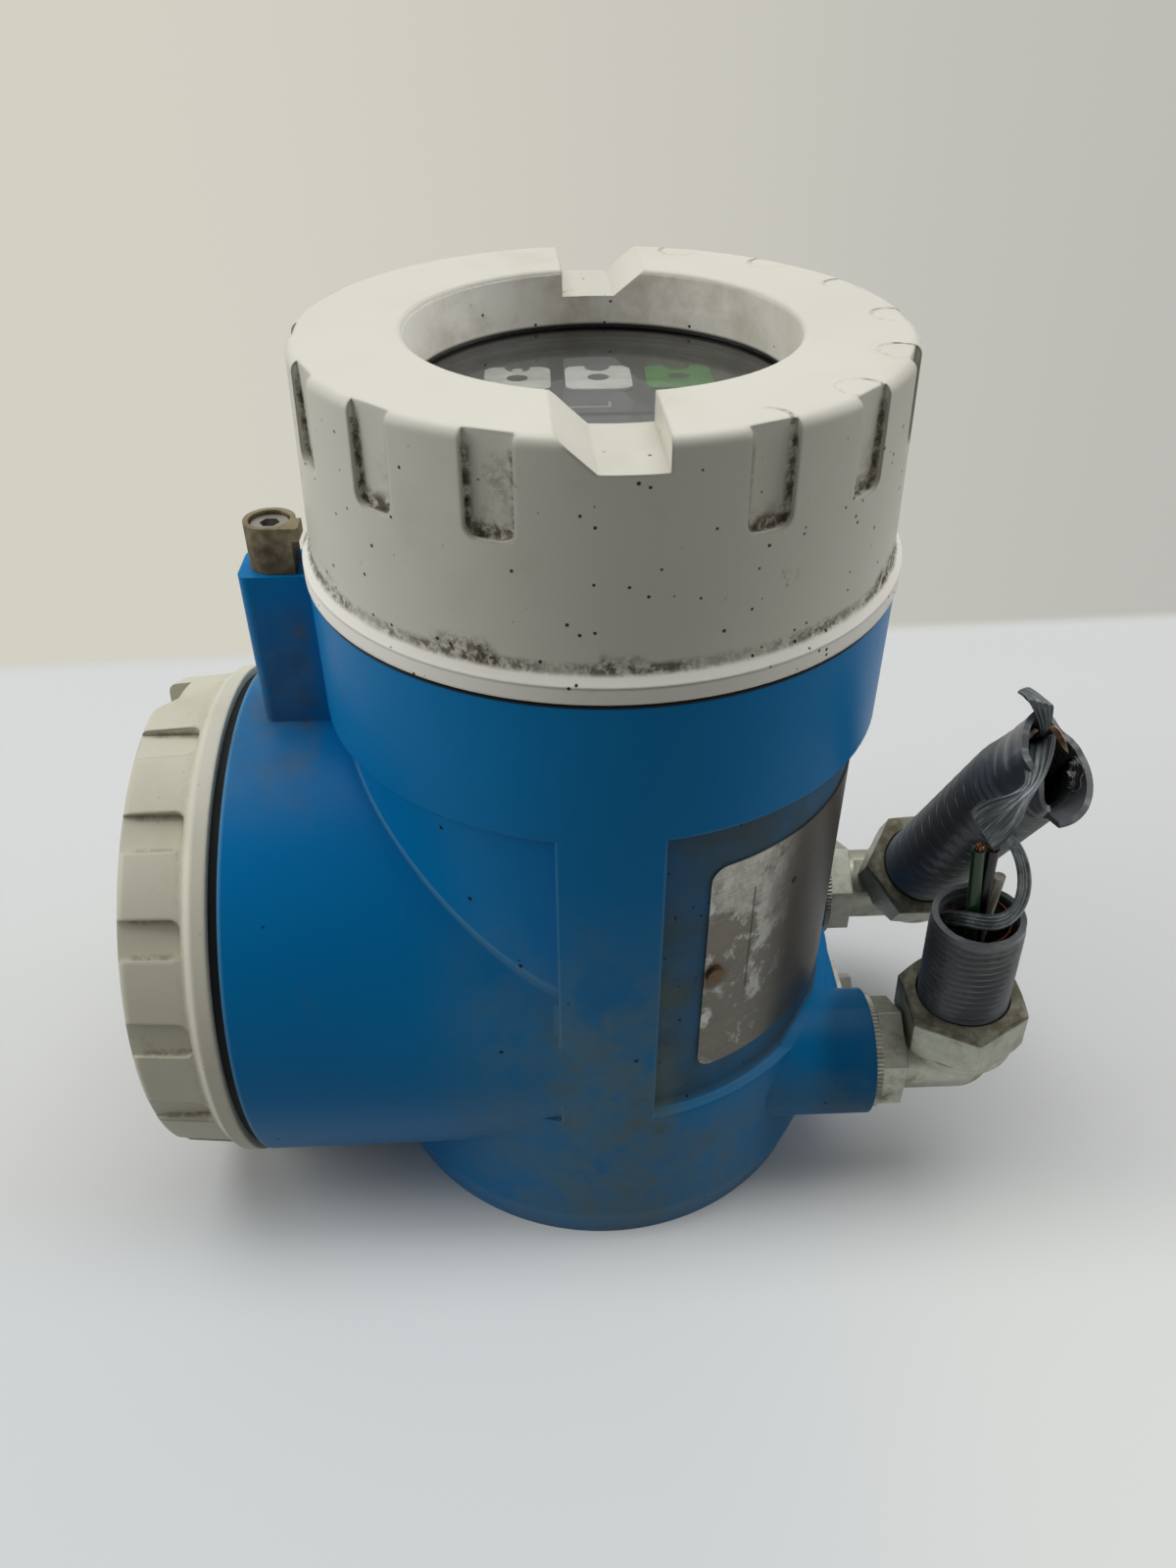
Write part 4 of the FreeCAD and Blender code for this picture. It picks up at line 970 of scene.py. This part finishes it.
BOND = (
    ((3.0, 8.9, 104.0), (0.4, 0.1, 0.4)), ((2.3, 8.8, 114.0), (0.5, 0.1, 0.4)),
    ((4.2, 8.0, 112.6), (0.7, 0.0, 0.5)), ((6.0, 6.8, 110.4), (0.8, -0.1, 0.4)),
    ((7.7, 5.1, 108.6), (0.5, 0.1, 0.4)), ((8.6, 3.6, 107.8), (0.1, 0.1, 0)),
)
BOND_END = (
    ((-3.0, 6.0, 103.0), (0.4, -0.3, 0)), ((-2.0, 6.2, 109.3), (0.4, -0.3, 0)),
    ((-0.8, 8.0, 110.2), (0.5, -0.4, 0)), ((0.6, 8.8, 110.6), (0.4, -0.4, 0)),
)
print(sum(len(rows) for rows in (TAB, TONGUE, LOOP, SCRAP, BOND, BOND_END)), "rows placed")

# %% Strips in place
torn_steel = torn_finish()
torn_lining = moulding("torn_lining", "0b0b0b", "1c1a17", 0.2)
# Partly painted highlight: the bare copper strip gets a pale colour and a half-diffuse finish, so it shows as bright
# glints in the shade of the mouth.
bright_copper = Finish("bright_copper", Metallic=0.5, Roughness=0.22)
tarnish = bright_copper.noise(160, 3.0, detail=4).ramp(0.52, 0.72)
bright_copper.set("Base Color", bright_copper.mix(tarnish, rgb("ffd8b8"), rgb("c4835a")))
tab = ribbon("rear_torn_tab", REAR_LEG, TAB, torn_steel, 0.5 * MM, crown=0.3, ridge=0.1)
fold = ribbon("rear_torn_tongue", REAR_LEG, TONGUE, torn_steel, 0.5 * MM, crown=0.6, ridge=0.15)
loop = ribbon("front_core_loop", FRONT_LEG, LOOP, strip_steel, 0.5 * MM, crown=0.3, ridge=0.2)
scrap = ribbon("rear_torn_scrap", REAR_LEG, SCRAP, torn_lining, 0.6 * MM, crown=0.5, ridge=0.25)
glint = ribbon("rear_bond_strip", REAR_LEG, BOND, bright_copper, 0.3 * MM, crown=0.1)
spark = ribbon("rear_bond_end", REAR_LEG, BOND_END, bright_copper, 0.3 * MM, crown=0.1)
lining = steel_coils.make("rear_core_liner", REAR_LEG, Turns=25, **winding)
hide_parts("front_core")
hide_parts("rear_core")
for piece, slot in ((loop, "conduit_steel"), (tab, "conduit_steel"), (fold, "conduit_steel"),
                    (lining, "conduit_steel"), (scrap, "conduit_jacket"), (glint, "bond_copper"),
                    (spark, "bond_copper")):
    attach(piece, "housing")

# %% [markdown]
# ## The stage
# A pale table and a plain wall, as in the photograph, with a broad soft lamp overhead and behind. The wall is a glow
# painted on the far part of the table. The face towards the camera lies in its own shade, which is what gives the
# covers their form. A real white table throws less light back than an endless one would, so the table is paler to
# the camera than to the light that bounces off it. In front of the head the table glows paler still, painted light
# that weakens the head's shadow there. The table's glow is painted paler towards the right, and the wall's darker.

# %% Table and wall
TABLE_HALF = 6              # metres from its middle to an edge
SEEN_BY = ("Is Camera Ray", "Is Glossy Ray", "Is Transmission Ray")


def table_finish():
    pale = Finish("pale_table", Roughness=0.6)
    x, y = pale.axes()[:2]
    path = pale.node("LightPath").socket.node
    camera_ray, glossy_ray, clear_ray = (Value(pale, path.outputs[kind]) for kind in SEEN_BY)
    seen = camera_ray.most(glossy_ray).most(clear_ray)
    pale.set("Base Color", pale.mix(seen, rgb("90918f"), rgb("d2d4d4")))
    far = (y - 0.044 * x).ramp(0.244, 0.262)
    # Painted light: the table in front of the head glows paler, which weakens the head's shadow there.
    front_shadow_lift = y.ramp(-0.040, -0.090)
    # Painted light and shade: the wall's glow darkens and the table's glow pales towards the right.
    aside = (x / (y + 0.25)).ramp(-0.35, 0.6)
    floor = pale.mix(x.ramp(0, 0.12), rgb("d0d5d7"), rgb("dcdedb"))
    wall = pale.mix(aside, rgb("d3d0c4"), rgb("bcbbb5"))
    glow = pale.node("Emission", sockets={"Color": pale.mix(far, floor, wall), "Strength": 1.0})
    lit = Value(pale, pale.shader.outputs[0])
    both = pale.node("MixShader", sockets={0: far.most(front_shadow_lift * 0.82) * seen, 1: lit, 2: glow})
    pale.feed(pale.tree.nodes["Material Output"].inputs["Surface"], both)
    return pale


table_mesh = bpy.data.meshes.new("table")
corners = [(TABLE_HALF * x, TABLE_HALF * y, 0) for x, y in ((-1, -1), (1, -1), (1, 1), (-1, 1))]
table_mesh.from_pydata(corners, [], [(0, 1, 2, 3)])
table_mesh.materials.append(table_finish().material)
table = bpy.data.objects.new("table", table_mesh)
scene.collection.objects.link(table)
print("table laid")

# %% Light
def studio_world():
    world = bpy.data.worlds.new("studio")
    scene.world = world
    world.use_nodes = True
    sky = Graph(world.node_tree)
    x, y = sky.parts(sky.node("TexCoord", out="Generated"))[:2]
    back = world.node_tree.nodes["Background"]
    sky.feed(back.inputs["Color"], (0.82, 0.81, 0.78, 1))
    sky.feed(back.inputs["Strength"], 0.12 + 0.45 * y.ramp(-0.3, 0.7) + 0.16 * abs(x))


def softbox(name, place, aim, size, watts):
    lamp = bpy.data.lights.new(name, "AREA")
    lamp.shape = "RECTANGLE"
    lamp.size, lamp.size_y = size
    lamp.energy = watts
    made = bpy.data.objects.new(name, lamp)
    facing = (Vector(aim) - Vector(place)).to_track_quat("-Z", "Y").to_matrix().to_4x4()
    made.matrix_world = Matrix.Translation(place) @ facing
    scene.collection.objects.link(made)


studio_world()
softbox("ceiling", (0.0, 0.35, 1.5), (0, 0, 0.1), (1.8, 1.2), 16)
softbox("left_wall", (-1.3, -0.1, 0.7), (0, 0, 0.12), (0.8, 0.8), 7)
softbox("right_wall", (1.3, 0.1, 0.8), (0, 0, 0.12), (0.8, 0.8), 4)
print("stage lit")
